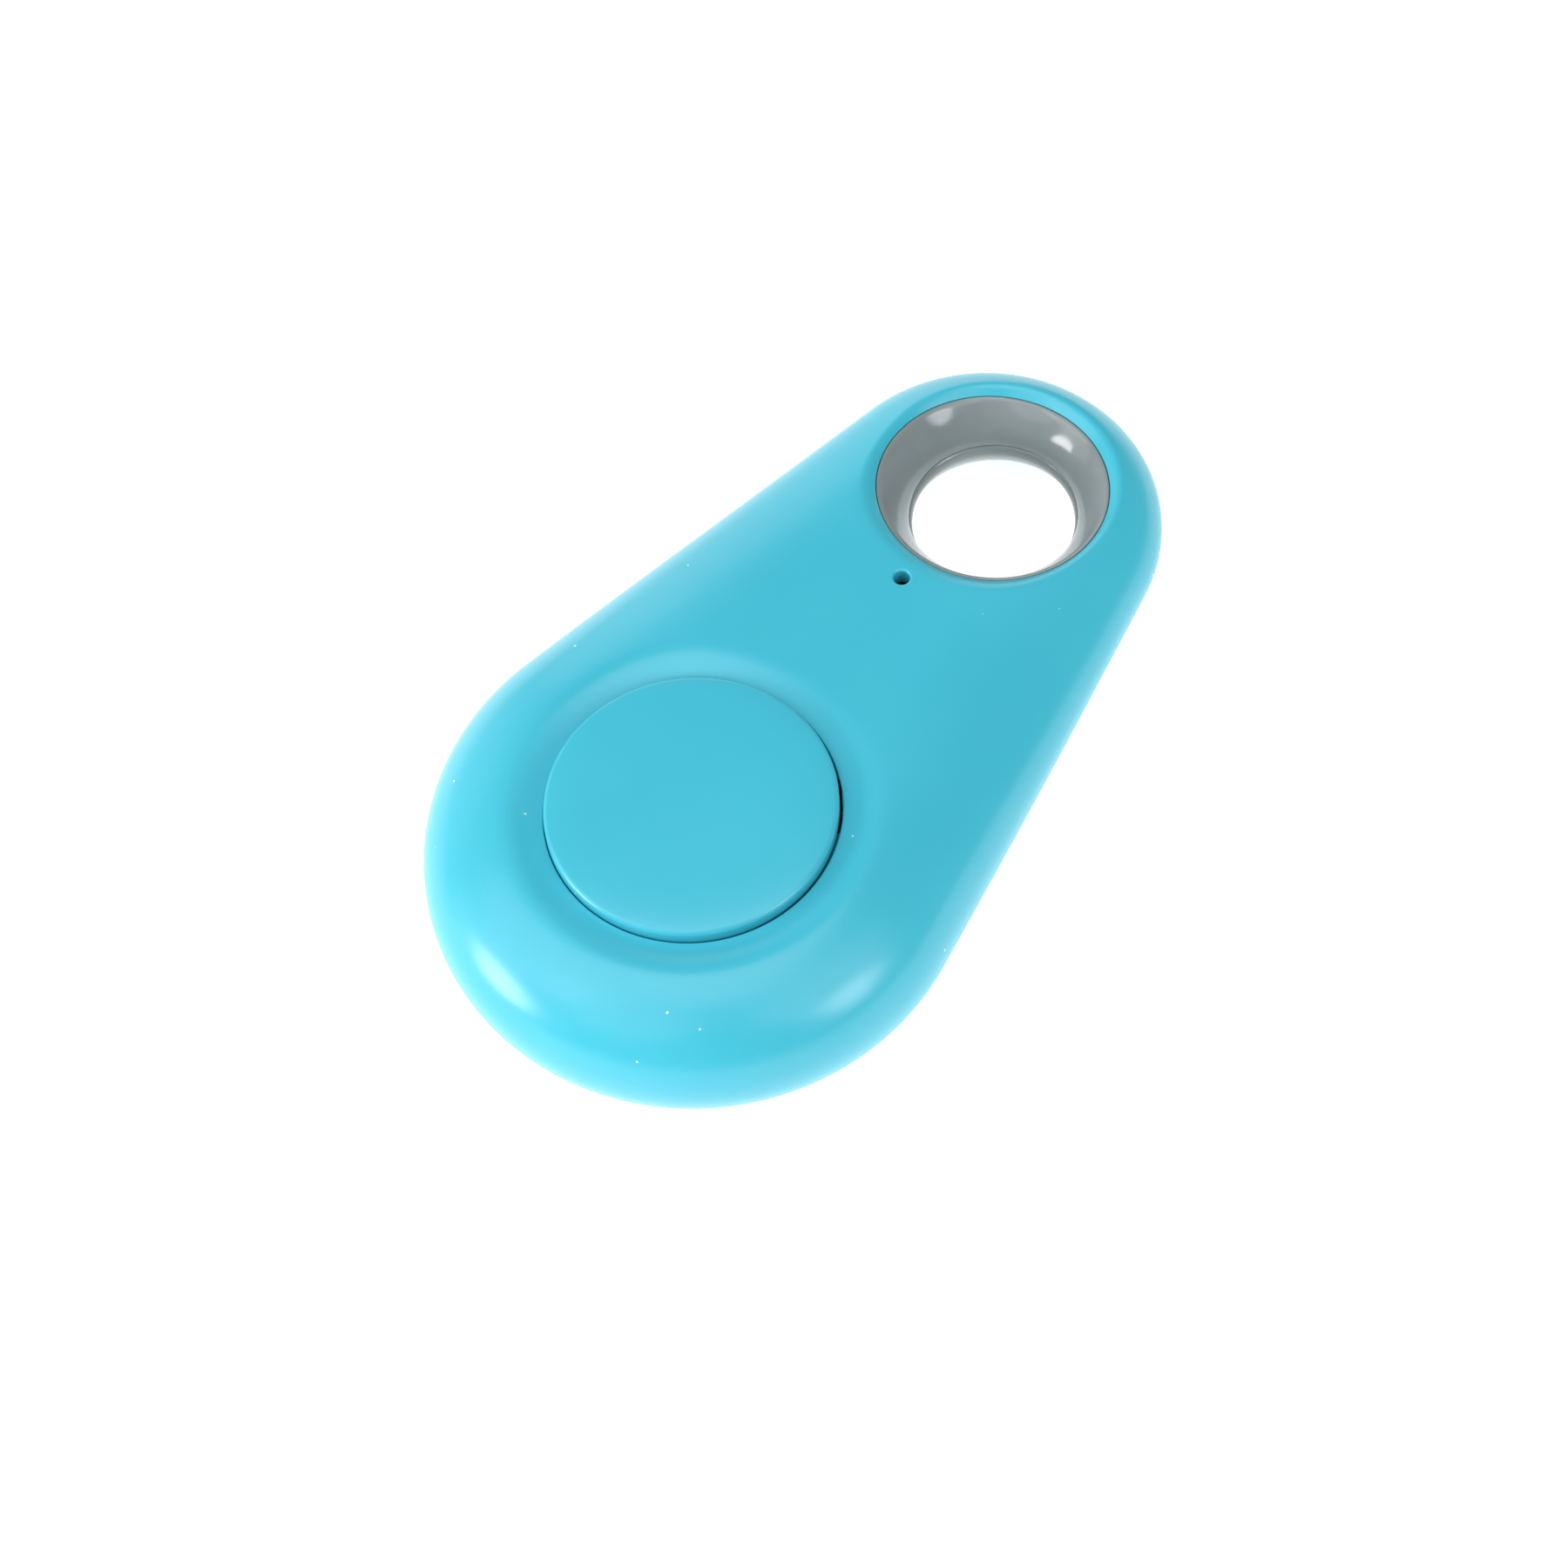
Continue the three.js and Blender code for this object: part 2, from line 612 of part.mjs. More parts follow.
function switchFrame() {
  const low = SWITCH.top_z + SWITCH.frame_gap;
  const hole = solid(disc(SWITCH.frame_hole_r, MID_Z, THICKNESS, 0, LOBE_Y, 24));
  const plate = solid(block(SWITCH.size, SWITCH.size, low, low + SWITCH.frame_sheet, 0, LOBE_Y));
  return geometryOf(plate.subtract(hole));
}

function switchTerminal(sideX, sideY) {
  const size = SWITCH.terminal;
  const x = sideX * ((SWITCH.size + size) / 2 + 0.1);
  const y = LOBE_Y + sideY * SWITCH.terminal_y;
  return block(size, size, PART_BASE_Z, PART_BASE_Z + SWITCH.terminal_height, x, y);
}

// The sounder: a square case with a coil round a core, a steel diaphragm and a lid with a sound hole.
const BUZZER = {
  y: 3.1,
  size: 5.0,
  floor_z: PART_BASE_Z + 0.3,
  wall_z: 8.0,
  lid_z: 8.5,
  bore_r: 2.1,
  coil: { inner_r: 0.8, outer_r: 1.9, z0: 6.95, z1: 7.5 },
  core: { r: 0.6, z1: 7.55 },
  diaphragm: { r: 1.95, z0: 7.7, z1: 7.8 },
  hole_r: 0.5,
  hole_offset: 1.2,
};

function buzzerCase() {
  const bore = solid(disc(BUZZER.bore_r, BUZZER.floor_z, THICKNESS, 0, BUZZER.y, 24));
  const body = solid(block(BUZZER.size, BUZZER.size, PART_BASE_Z, BUZZER.wall_z, 0, BUZZER.y));
  return geometryOf(body.subtract(bore));
}

function buzzerCoil() {
  const { inner_r: inner, outer_r: outer, z0, z1 } = BUZZER.coil;
  return tube(inner, outer, z0, z1, 0, BUZZER.y, 24);
}

function buzzerCore() {
  return disc(BUZZER.core.r, BUZZER.coil.z0, BUZZER.core.z1, 0, BUZZER.y, 20);
}

function buzzerDiaphragm() {
  return disc(BUZZER.diaphragm.r, BUZZER.diaphragm.z0, BUZZER.diaphragm.z1, 0, BUZZER.y, 24);
}

function buzzerLid() {
  const hole = solid(disc(BUZZER.hole_r, MID_Z, THICKNESS, 0, BUZZER.y + BUZZER.hole_offset, 16));
  const plate = solid(block(BUZZER.size, BUZZER.size, BUZZER.wall_z + 0.05, BUZZER.lid_z, 0, BUZZER.y));
  return geometryOf(plate.subtract(hole));
}

// ---- the assembly -------------------------------------------------------------------------------

function finish(color, roughness, metalness = 0) {
  return new THREE.MeshStandardMaterial({ color, roughness, metalness });
}

const SHELL = finish(0x4bbfd9, 0.45);
const LINER = finish(0x8a9696, 0.25);
const BOARD = finish(0x1f5a3a, 0.5);
const STEEL = finish(0xc4c6c8, 0.3, 1);
const BRIGHT_STEEL = finish(0xb4b6b9, 0.2, 1);
const BLACK_PLASTIC = finish(0x1d1e20, 0.55);
const SEAL_PLASTIC = finish(0x5b5d60, 0.6);
const COPPER = finish(0xb87333, 0.35, 1);
const CERAMIC = finish(0xb9a37c, 0.6);
const WHITE_CERAMIC = finish(0xe8e6df, 0.5);
const RESIN = finish(0xf1ead0, 0.3);

const tag = new THREE.Group();

function add(name, geometry, material) {
  const mesh = new THREE.Mesh(geometry, material);
  mesh.name = name;
  tag.add(mesh);
}

add("front_cover", frontCover(), SHELL);
add("rear_cover", rearCover(), SHELL);
add("button_cap", buttonCap(), SHELL);
add("liner_front", linerFront(), LINER);
add("liner_rear", linerRear(), LINER);
add("circuit_board", circuitBoard(), BOARD);
add("cell_can", cellCan(), BRIGHT_STEEL);
add("cell_seal", cellSeal(), SEAL_PLASTIC);
add("cell_lid", cellLid(), BRIGHT_STEEL);
add("cell_strap", cellStrap(), STEEL);
add("cell_contact", cellContact(), STEEL);
add("switch_base", switchBase(), BLACK_PLASTIC);
add("switch_dome", switchDome(), STEEL);
add("switch_plunger", switchPlunger(), BLACK_PLASTIC);
add("switch_frame", switchFrame(), STEEL);
for (const [i, [sideX, sideY]] of [[-1, -1], [1, -1], [1, 1], [-1, 1]].entries()) {
  add(`switch_terminal_${i + 1}`, switchTerminal(sideX, sideY), STEEL);
}
add("buzzer_case", buzzerCase(), BLACK_PLASTIC);
add("buzzer_coil", buzzerCoil(), COPPER);
add("buzzer_core", buzzerCore(), STEEL);
add("buzzer_diaphragm", buzzerDiaphragm(), STEEL);
add("buzzer_lid", buzzerLid(), BLACK_PLASTIC);

// Small parts on the board's upper side: name, material, size along X and Y, height, and place.
const CHIPS = [
  ["radio_chip", BLACK_PLASTIC, 5.0, 5.0, 0.85, -6.2, -14.6],
  ["crystal_main", STEEL, 3.2, 2.5, 0.7, -8.4, -9.4],
  ["crystal_clock", STEEL, 1.5, 3.2, 0.75, -5.2, -9.4],
  ["antenna_chip", WHITE_CERAMIC, 2.0, 7.0, 0.8, 6.6, -1.5],
  ["status_led", RESIN, 1.6, 0.8, 0.6, 0, 7.2],
  ["driver_transistor", BLACK_PLASTIC, 1.3, 2.9, 1.0, -4.4, 2.4],
  ["buzzer_inductor", BLACK_PLASTIC, 2.5, 2.0, 0.9, -4.6, -1.4],
];
for (const [name, material, width, depth, height, x, y] of CHIPS) {
  add(name, block(width, depth, PART_BASE_Z, PART_BASE_Z + height, x, y), material);
}

const CAPACITOR = {
  width: 1.6,
  depth: 0.8,
  height: 0.7,
  places: [[-2.4, -17.6], [-0.4, -17.6], [4.3, -15.5], [4.3, -13.9], [-8.6, -6.4], [3.9, -4.3]],
};
const RESISTOR = {
  width: 1.6,
  depth: 0.8,
  height: 0.45,
  places: [[7.4, -9.6], [7.4, -11.2], [4.3, 2.4], [2.6, 7.2]],
};

function addRow(name, kind, material) {
  for (const [i, [x, y]] of kind.places.entries()) {
    const geometry = block(kind.width, kind.depth, PART_BASE_Z, PART_BASE_Z + kind.height, x, y);
    add(`${name}_${i + 1}`, geometry, material);
  }
}

addRow("capacitor", CAPACITOR, CERAMIC);
addRow("resistor", RESISTOR, BLACK_PLASTIC);

export default tag;
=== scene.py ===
"""A key-finder tag on a pale studio table: fine covers, button, eye liner and inner parts.

They stand on the CAD frame. Shapes are worked out in millimetres, in the frame's own axes, and made at a
thousandth in Blender.
"""

import json
import math

import bmesh
import bpy
import numpy as np
from mathutils import Matrix, Vector
from mathutils.geometry import delaunay_2d_cdt


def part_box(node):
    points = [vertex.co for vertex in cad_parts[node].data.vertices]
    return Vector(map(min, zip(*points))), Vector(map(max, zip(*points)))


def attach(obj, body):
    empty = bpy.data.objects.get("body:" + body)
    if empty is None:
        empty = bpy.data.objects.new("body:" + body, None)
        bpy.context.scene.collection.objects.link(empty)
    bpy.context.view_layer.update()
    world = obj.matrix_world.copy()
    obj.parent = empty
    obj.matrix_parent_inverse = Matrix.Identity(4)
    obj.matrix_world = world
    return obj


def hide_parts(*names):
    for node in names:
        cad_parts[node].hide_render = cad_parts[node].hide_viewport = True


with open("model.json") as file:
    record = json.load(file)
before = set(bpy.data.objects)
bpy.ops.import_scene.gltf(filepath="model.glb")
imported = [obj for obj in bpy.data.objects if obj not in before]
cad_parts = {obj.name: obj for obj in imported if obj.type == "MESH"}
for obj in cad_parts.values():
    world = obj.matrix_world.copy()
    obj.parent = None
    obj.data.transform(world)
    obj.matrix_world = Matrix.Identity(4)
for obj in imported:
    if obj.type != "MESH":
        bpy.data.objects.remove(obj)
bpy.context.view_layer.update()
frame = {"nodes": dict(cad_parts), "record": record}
MM = 0.001


def span(node):
    """The lowest and highest corner of a CAD node, in millimetres."""
    low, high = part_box(node)
    return np.array(low) / MM, np.array(high) / MM


# ---- sizes ---------------------------------------------------------------------------------------

FRONT_LOW, FRONT_HIGH = span("front_cover")
REAR_LOW, _ = span("rear_cover")
CAP_LOW, CAP_HIGH = span("button_cap")
LINER_LOW, LINER_HIGH = span("liner_front")
BOARD_LOW, BOARD_HIGH = span("circuit_board")

# The plan outline: two end circles and the straight flanks that touch both.
LOBE_R = 15.3
RING_R = 10.25
LOBE_Y = (CAP_LOW[1] + CAP_HIGH[1]) / 2
RING_Y = FRONT_HIGH[1] - RING_R
CENTRE_DISTANCE = RING_Y - LOBE_Y
FLANK_ANGLE = math.asin((LOBE_R - RING_R) / CENTRE_DISTANCE)
FLANK_LENGTH = CENTRE_DISTANCE * math.cos(FLANK_ANGLE)
# The flanks bow out by a hair, so that the outline is convex everywhere.
FLANK_BOW = 0.06

# Heights of the widest line, the crest over each end, and the underside of the eye's end, which rises
# from KEEL_START_Y on.
MID_Z = 5.4
LOBE_CREST_Z = 10.75
RING_CREST_Z = 9.55
RING_KEEL_Z = 0.95
KEEL_START_Y = 4.0
# Where two surfaces of the skin meet, the crease is rounded over this width.
CREASE = 0.3

# The covers' wall, the seam between them, and the rounding of the front cover's lower edge.
WALL = 1.2
SEAM = 0.15
PART_Z = FRONT_LOW[2]
REAR_TOP_Z = PART_Z - SEAM
SEAM_ROUND = 0.12

# The rounded edges above and below the widest line: how far in each reaches, and its fullness, where 2
# is an ellipse.
TOP_EDGE = (8.2, 2.22)
BACK_EDGE = (5.8, 1.95)

# The eye. EYE_ROLL is the width and height over which its mouth eases into the skin. Its rims lean
# with the tag's wedge: each has a height above or below the widest line, and a slope along Y.
EYE_Y = (LINER_LOW[1] + LINER_HIGH[1]) / 2
EYE_R = 6.7
EYE_ROLL = (2.4, 1.0)
EYE_FRONT = (3.15, 0.1)
EYE_REAR = (3.9, 0.04)
COLLAR_WALL = 0.8
COLLAR_LOW_Z = MID_Z + 0.8

# The button's well, the shallow dish round it, and the sound port with its lip's width and depth.
WELL_R = 8.2
WELL_WALL = 0.85
WELL_FLOOR_Z = 9.3
WELL_FLOOR = 0.8
DISH_WIDTH = 3.1
DISH_LOW_Z = 10.1
DISH_RISE = 0.65
EDGE_R = 0.08
PORT_Y = 8.1
PORT_R = 0.46
PORT_LIP = (0.14, 0.16)
PORT_FLOOR_Z = 8.0
# The button sits a hair off the well's middle, so that its gap is widest at the first hook.
BUTTON_R = 8.09
BUTTON_SHIFT = 0.06
BUTTON_TOP_Z = CAP_HIGH[2]
BUTTON_CROWN = 0.16
BUTTON_FILLET = 0.3

# The button's three hooks, and the slots that they drop through. A hook is a leg and a foot, each with
# an inner radius and a top.
HOOK_ANGLES = [math.radians(41 + 120 * i) for i in range(3)]
HOOK_OUTER_R = 7.9
HOOK_WIDTH = 1.0
HOOK_LOW_Z = 7.9
HOOK_LEG = (7.3, 10.1)
HOOK_FOOT = (6.5, 8.3)
SLOT_R = 7.575
SLOT_DEPTH = 1.15
SLOT_WIDTH = 3.4
BOSS_HOLE_R = 1.7

# The rear cover's lip stands inside the front cover's thinned skirt, and stops short of the eye.
SKIRT_INSET = 2.75
LIP_OUTER_INSET = 3.1
LIP_INNER_INSET = 3.9
LIP_TOP_Z = 3.3
LIP_END_Y = 7.0

# The front cover's posts and pins hold the board, and the rear cover's rest posts stand under it.
POST_PLACES = [(8.6, -18.9), (8.2, 3.5), (-8.6, -18.9), (-8.2, 3.5)]
POST_R = 1.0
POST_LOW_Z = 6.65
PIN_R = 0.45
PIN_LOW_Z = 5.3
PIN_TOP_Z = 7
PIN_HOLE_R = 0.7
REST_POST_R = 0.9
REST_POST_TOP_Z = 5.55
REST_CIRCLE_R = 11.5
REST_ANGLE = math.radians(25)

# The pry notch's width and depth.
NOTCH_SIZE = (7, 2.4)

# The board's edge inside the outline, and its cut round the eye.
BOARD_INSET = 2.2
BOARD_EYE_R = 8.1

# Fittings and cutting tools end well above the tag, and what stands on the back wall is sunk into it.
ABOVE_Z = 12
SUNK = 0.4

# Mesh density: the distance between points along and across the skin, and the steps of a full turn.
STEP = 0.42
TURN_STEPS = 180
PORT_STEPS = 40
# The skin's first ring on top lies this far in. Rings follow it to GRID_INSET, then a grid.
SHOULDER_INSET = 1.0
GRID_INSET = 5.6


# ---- the pebble shape ----------------------------------------------------------------------------

def smooth(value):
    t = np.clip(value, 0, 1)
    return t * t * (3 - 2 * t)


def soft_min(a, b, width):
    """The lower of two heights, with the crease between them rounded over about width."""
    near = np.clip(width - np.abs(a - b), 0, None) / width
    return np.minimum(a, b) - near * near * width / 4


def crest_z(y):
    return LOBE_CREST_Z + (RING_CREST_Z - LOBE_CREST_Z) * smooth((y - LOBE_Y) / CENTRE_DISTANCE)


def keel_z(y):
    return RING_KEEL_Z * smooth((y - KEEL_START_Y) / (RING_Y - KEEL_START_Y))


def rise_at(inset, edge):
    width, power = edge
    return (1 - np.clip(1 - inset / width, 0, 1) ** power) ** (1 / power)


def inset_at_rise(rise, edge):
    width, power = edge
    return width * (1 - (1 - np.clip(rise, 0, 1) ** power) ** (1 / power))


def inset_at(x, y):
    """How far inside the widest line a point of the plan lies."""
    side = np.abs(x)
    up = y - LOBE_Y
    along = up * math.cos(FLANK_ANGLE) - side * math.sin(FLANK_ANGLE)
    lobe = LOBE_R - np.hypot(side, up)
    ring = RING_R - np.hypot(side, y - RING_Y)
    share = np.clip(along / FLANK_LENGTH, 0, 1)
    flank = LOBE_R - side * math.cos(FLANK_ANGLE) - up * math.sin(FLANK_ANGLE)
    flank = flank + FLANK_BOW * 4 * share * (1 - share)
    return np.where(along < 0, lobe, np.where(along > FLANK_LENGTH, ring, flank))


def eye_mouth(x, y, rim):
    """Height of the eye's eased mouth above or below the widest line."""
    height, slope = rim
    share = (np.hypot(x, y - EYE_Y) - EYE_R) / EYE_ROLL[0]
    roll = 1 - (1 - np.clip(share, 0, 1)) ** 2 + np.clip(share - 1, 0, None)
    return height + EYE_ROLL[1] * roll - slope * (y - EYE_Y)


def rounded_drop(radius, edge_r, width, depth):
    """How far a hole's rounded lip lies below the skin around it."""
    share = np.clip((radius - edge_r) / width, 0, 1)
    return depth * (1 - np.sqrt(1 - (1 - share) ** 2))


def top_z(x, y):
    around_button = np.hypot(x, y - LOBE_Y)
    skin = MID_Z + (crest_z(y) - MID_Z) * rise_at(inset_at(x, y), TOP_EDGE)
    share = (around_button - WELL_R) / DISH_WIDTH
    dish = DISH_LOW_Z + DISH_RISE * smooth(share) + np.clip(share - 1, 0, None)
    z = soft_min(skin, dish, CREASE)
    z = soft_min(z, MID_Z + eye_mouth(x, y, EYE_FRONT), CREASE)
    z = z - rounded_drop(around_button, WELL_R, EDGE_R, EDGE_R)
    return z - rounded_drop(np.hypot(x, y - PORT_Y), PORT_R, *PORT_LIP)


def back_z(x, y):
    skin = (MID_Z - keel_z(y)) * rise_at(inset_at(x, y), BACK_EDGE)
    return MID_Z - soft_min(skin, eye_mouth(x, y, EYE_REAR), CREASE)


def outline():
    """Points of the widest line and their outward normals, anticlockwise."""
    def arc(radius, centre_y, first, last):
        turn = np.linspace(first, last, round(radius * (last - first) / STEP))
        normal = np.stack([np.cos(turn), np.sin(turn)], 1)
        return normal * radius + (0, centre_y), normal

    lobe, lobe_normal = arc(LOBE_R, LOBE_Y, math.pi - FLANK_ANGLE, 2 * math.pi + FLANK_ANGLE)
    ring, ring_normal = arc(RING_R, RING_Y, FLANK_ANGLE, math.pi - FLANK_ANGLE)
    share = np.linspace(0, 1, round(FLANK_LENGTH / STEP))[1:-1, None]
    right_normal = np.repeat(ring_normal[:1], len(share), 0)
    left_normal = np.repeat(ring_normal[-1:], len(share), 0)
    bow = FLANK_BOW * 4 * share * (1 - share)
    right = lobe[-1] * (1 - share) + ring[0] * share + right_normal * bow
    left = ring[-1] * (1 - share) + lobe[0] * share + left_normal * bow
    points = np.concatenate([lobe, right, ring, left])
    return points, np.concatenate([lobe_normal, right_normal, ring_normal, left_normal])


OUTLINE, OUTLINE_NORMAL = outline()


def back_edge_inset(z):
    """Inset of the back edge at one height, for each point of the outline."""
    inset = np.zeros(len(OUTLINE))
    for _ in range(6):
        y = OUTLINE[:, 1] - inset * OUTLINE_NORMAL[:, 1]
        inset = inset_at_rise((MID_Z - z) / (MID_Z - keel_z(y)), BACK_EDGE)
    return inset


def moved_in(inset):
    return OUTLINE - OUTLINE_NORMAL * np.reshape(inset, (-1, 1))


def with_z(plan, z):
    return np.column_stack([plan, np.broadcast_to(z, len(plan))])


def on_top(plan):
    return with_z(plan, top_z(plan[:, 0], plan[:, 1]))


def on_back(plan):
    return with_z(plan, back_z(plan[:, 0], plan[:, 1]))


def round_lobe(radius, angle):
    """A place on a circle about the lobe's middle."""
    return radius * math.cos(angle), LOBE_Y + radius * math.sin(angle)


def circle(radius, centre_y, count=TURN_STEPS):
    turn = np.arange(count) * 2 * math.pi / count
    return np.stack([radius * np.cos(turn), centre_y + radius * np.sin(turn)], 1)


def inside(polygon, points):
    """Which points of the plan lie inside a closed polygon."""
    start, end = polygon[:, None], np.roll(polygon, -1, 0)[:, None]
    spans = (start[..., 1] > points[:, 1]) != (end[..., 1] > points[:, 1])
    height = np.where(spans, end[..., 1] - start[..., 1], 1.0)
    crossing = start[..., 0] + (points[:, 1] - start[..., 1]) / height * (end[..., 0] - start[..., 0])
    return (spans & (points[:, 0] < crossing)).sum(0) % 2 == 1


# ---- mesh helpers --------------------------------------------------------------------------------

class Skin:
    """A closed surface built up from loops of points."""

    def __init__(self):
        self.points = []
        self.faces = []

    def loop(self, xyz):
        first = len(self.points)
        self.points.extend(tuple(float(v) for v in p) for p in xyz)
        return list(range(first, len(self.points)))

    def bridge(self, a, b):
        count = len(a)
        for i in range(count):
            j = (i + 1) % count
            self.faces.append((a[i], a[j], b[j], b[i]))

    def chain(self, start, loops):
        """Bridges loop after loop, and returns the last one."""
        for xyz in loops:
            following = self.loop(xyz)
            self.bridge(start, following)
            start = following
        return start

    def fill(self, outer, holes=(), free=(), height=None):
        """Fills between an outer loop and the loops of its holes, through free points."""
        ids = []
        edges = []
        for loop in (outer, *holes):
            first = len(ids)
            ids += loop
            edges += [(first + i, first + (i + 1) % len(loop)) for i in range(len(loop))]
        if len(free):
            ids += self.loop(with_z(free, height(free[:, 0], free[:, 1])))
        plan = [Vector(self.points[i][:2]) for i in ids]
        _, _, faces, origin, _, _ = delaunay_2d_cdt(plan, edges, [], 1, 1e-7, True)
        corners = np.array([[ids[origin[k][0]] for k in face] for face in faces])
        flat = np.array(self.points)[:, :2]
        middles = flat[corners].mean(1)
        keep = inside(flat[outer], middles)
        for hole in holes:
            keep &= ~inside(flat[hole], middles)
        self.faces += [tuple(int(i) for i in face) for face in corners[keep]]

    def made(self, name):
        mesh = bpy.data.meshes.new(name)
        mesh.from_pydata([tuple(v * MM for v in p) for p in self.points], [], self.faces)
        work = bmesh.new()
        work.from_mesh(mesh)
        bmesh.ops.recalc_face_normals(work, faces=work.faces)
        work.to_mesh(mesh)
        work.free()
        made = bpy.data.objects.new(name, mesh)
        bpy.context.scene.collection.objects.link(made)
        return made


def free_points(centres):
    """Points for the middle of a skin: rings inside the outline, then a triangular grid.

    centres lists the places to stay clear of, (centre y, radius) each."""
    rings = [moved_in(inset) for inset in np.arange(SHOULDER_INSET + STEP, GRID_INSET, STEP)]
    grid = []
    for row, y in enumerate(np.arange(LOBE_Y - LOBE_R, RING_Y + RING_R, STEP * 0.87)):
        for x in np.arange(-LOBE_R, LOBE_R, STEP):
            grid.append((x + STEP / 2 * (row % 2), y))
    grid = np.array(grid)
    grid = grid[inset_at(grid[:, 0], grid[:, 1]) > GRID_INSET + STEP * 0.6]
    points = np.concatenate(rings + [grid])
    for centre_y, radius in centres:
        points = points[np.hypot(points[:, 0], points[:, 1] - centre_y) > radius]
    return points


def combine(base, other, operation):
    """Joins or cuts base by other, which is then deleted."""
    modifier = base.modifiers.new("combine", "BOOLEAN")
    modifier.operation = operation
    modifier.solver = "MANIFOLD"
    modifier.object = other
    graph = bpy.context.evaluated_depsgraph_get()
    made = bpy.data.meshes.new_from_object(base.evaluated_get(graph))
    base.modifiers.clear()
    base.data = made
    bpy.data.objects.remove(other)
    return base


def shade(piece, sharp=32):
    """Smooth shading, with edges over the sharp angle kept crisp."""
    piece.data.shade_smooth()
    piece.data.set_sharp_from_angle(angle=math.radians(sharp))
    return piece


def turned(name, profile, centre_y=LOBE_Y, steps=TURN_STEPS, x=0.0, shape=None):
    """A piece turned about a vertical axis from [radius, height] pairs that start and end on the axis,
    or close on themselves. shape may move its points before they are used."""
    skin = Skin()
    loops = []
    for radius, height in profile:
        if radius > 1e-6:
            ring = with_z(circle(radius, 0, steps), height)
        else:
            ring = np.array([[0.0, 0.0, height]])
        if shape is not None:
            ring = shape(ring)
        loops.append(skin.loop(ring + (x, centre_y, 0)))
    pairs = list(zip(loops, loops[1:]))
    if len(loops[0]) > 1:
        pairs.append((loops[-1], loops[0]))
    for a, b in pairs:
        if len(a) > 1 and len(b) > 1:
            skin.bridge(a, b)
            continue
        tip, ring = (a[0], b) if len(a) == 1 else (b[0], a)
        for i in range(len(ring)):
            skin.faces.append((ring[i], ring[(i + 1) % len(ring)], tip))
    return skin.made(name)


def block(name, width, depth, z0, z1, x=0.0, y=0.0, turn=0.0, round_by=0.0, round_steps=3):
    """A box from its middle in plan and its two heights, with its edges rounded."""
    work = bmesh.new()
    bmesh.ops.create_cube(work, size=1.0)
    bmesh.ops.scale(work, vec=(width, depth, z1 - z0), verts=work.verts)
    if round_by:
        bmesh.ops.bevel(
            work, geom=work.edges[:], offset=round_by, segments=round_steps, profile=0.5, affect="EDGES"
        )
    place = Matrix.Translation((x, y, (z0 + z1) / 2)) @ Matrix.Rotation(turn, 4, "Z")
    bmesh.ops.transform(work, matrix=Matrix.Scale(MM, 4) @ place, verts=work.verts)
    bmesh.ops.recalc_face_normals(work, faces=work.faces)
    mesh = bpy.data.meshes.new(name)
    work.to_mesh(mesh)
    work.free()
    made = bpy.data.objects.new(name, mesh)
    bpy.context.scene.collection.objects.link(made)
    return made


def disc(name, radius, z0, z1, x=0.0, y=0.0, steps=48):
    return turned(name, [(0, z0), (radius, z0), (radius, z1), (0, z1)], y, steps, x)


def settle(piece, body, slot, *nodes):
    """A finished piece: it rides on its body and stands for its CAD nodes, which are hidden. slot is not
    used.
    """
    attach(piece, body)
    if nodes:
        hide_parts(*nodes)
    return piece


# ---- the covers ----------------------------------------------------------------------------------

def prism(name, inset, z0, z1):
    """An upright block of the plan outline, moved inwards."""
    skin = Skin()
    low = skin.loop(with_z(moved_in(inset), z0))
    high = skin.chain(low, [with_z(moved_in(inset), z1)])
    skin.fill(low)
    skin.fill(high)
    return skin.made(name)


def inner_pebble(name):
    """The space inside the wall."""
    skin = Skin()
    back_width, back_power = BACK_EDGE
    top_width, top_power = TOP_EDGE
    loops = []
    for i in range(12, 0, -1):
        turn = math.pi / 2 * i / 12
        inset = WALL + (back_width - WALL) * (1 - math.cos(turn) ** (2 / back_power))
        plan = moved_in(inset)
        z = MID_Z - (MID_Z - WALL - keel_z(plan[:, 1])) * math.sin(turn) ** (2 / back_power)
        loops.append(with_z(plan, z))
    for i in range(0, 15):
        turn = math.pi / 2 * i / 14
        inset = WALL + (top_width - WALL) * (1 - math.cos(turn) ** (2 / top_power))
        plan = moved_in(inset)
        z = MID_Z + (crest_z(plan[:, 1]) - WALL - MID_Z) * math.sin(turn) ** (2 / top_power)
        loops.append(with_z(plan, z))
    low = skin.loop(loops[0])
    high = skin.chain(low, loops[1:])
    skin.fill(low)
    skin.fill(high)
    return skin.made(name)


def eye_radii(count, reach=1.4):
    """Radii of the rings laid round the eye, closer together towards its rim."""
    turn = np.linspace(0, math.pi / 2, count)
    return EYE_R + reach * (1 - np.cos(turn))


def lip_radii(radius, width):
    """Radii that step in over a hole's rounded lip, closer together towards the hole."""
    return [radius + width * (1 - math.cos(math.pi / 2 * i / 6)) for i in range(6, -1, -1)]


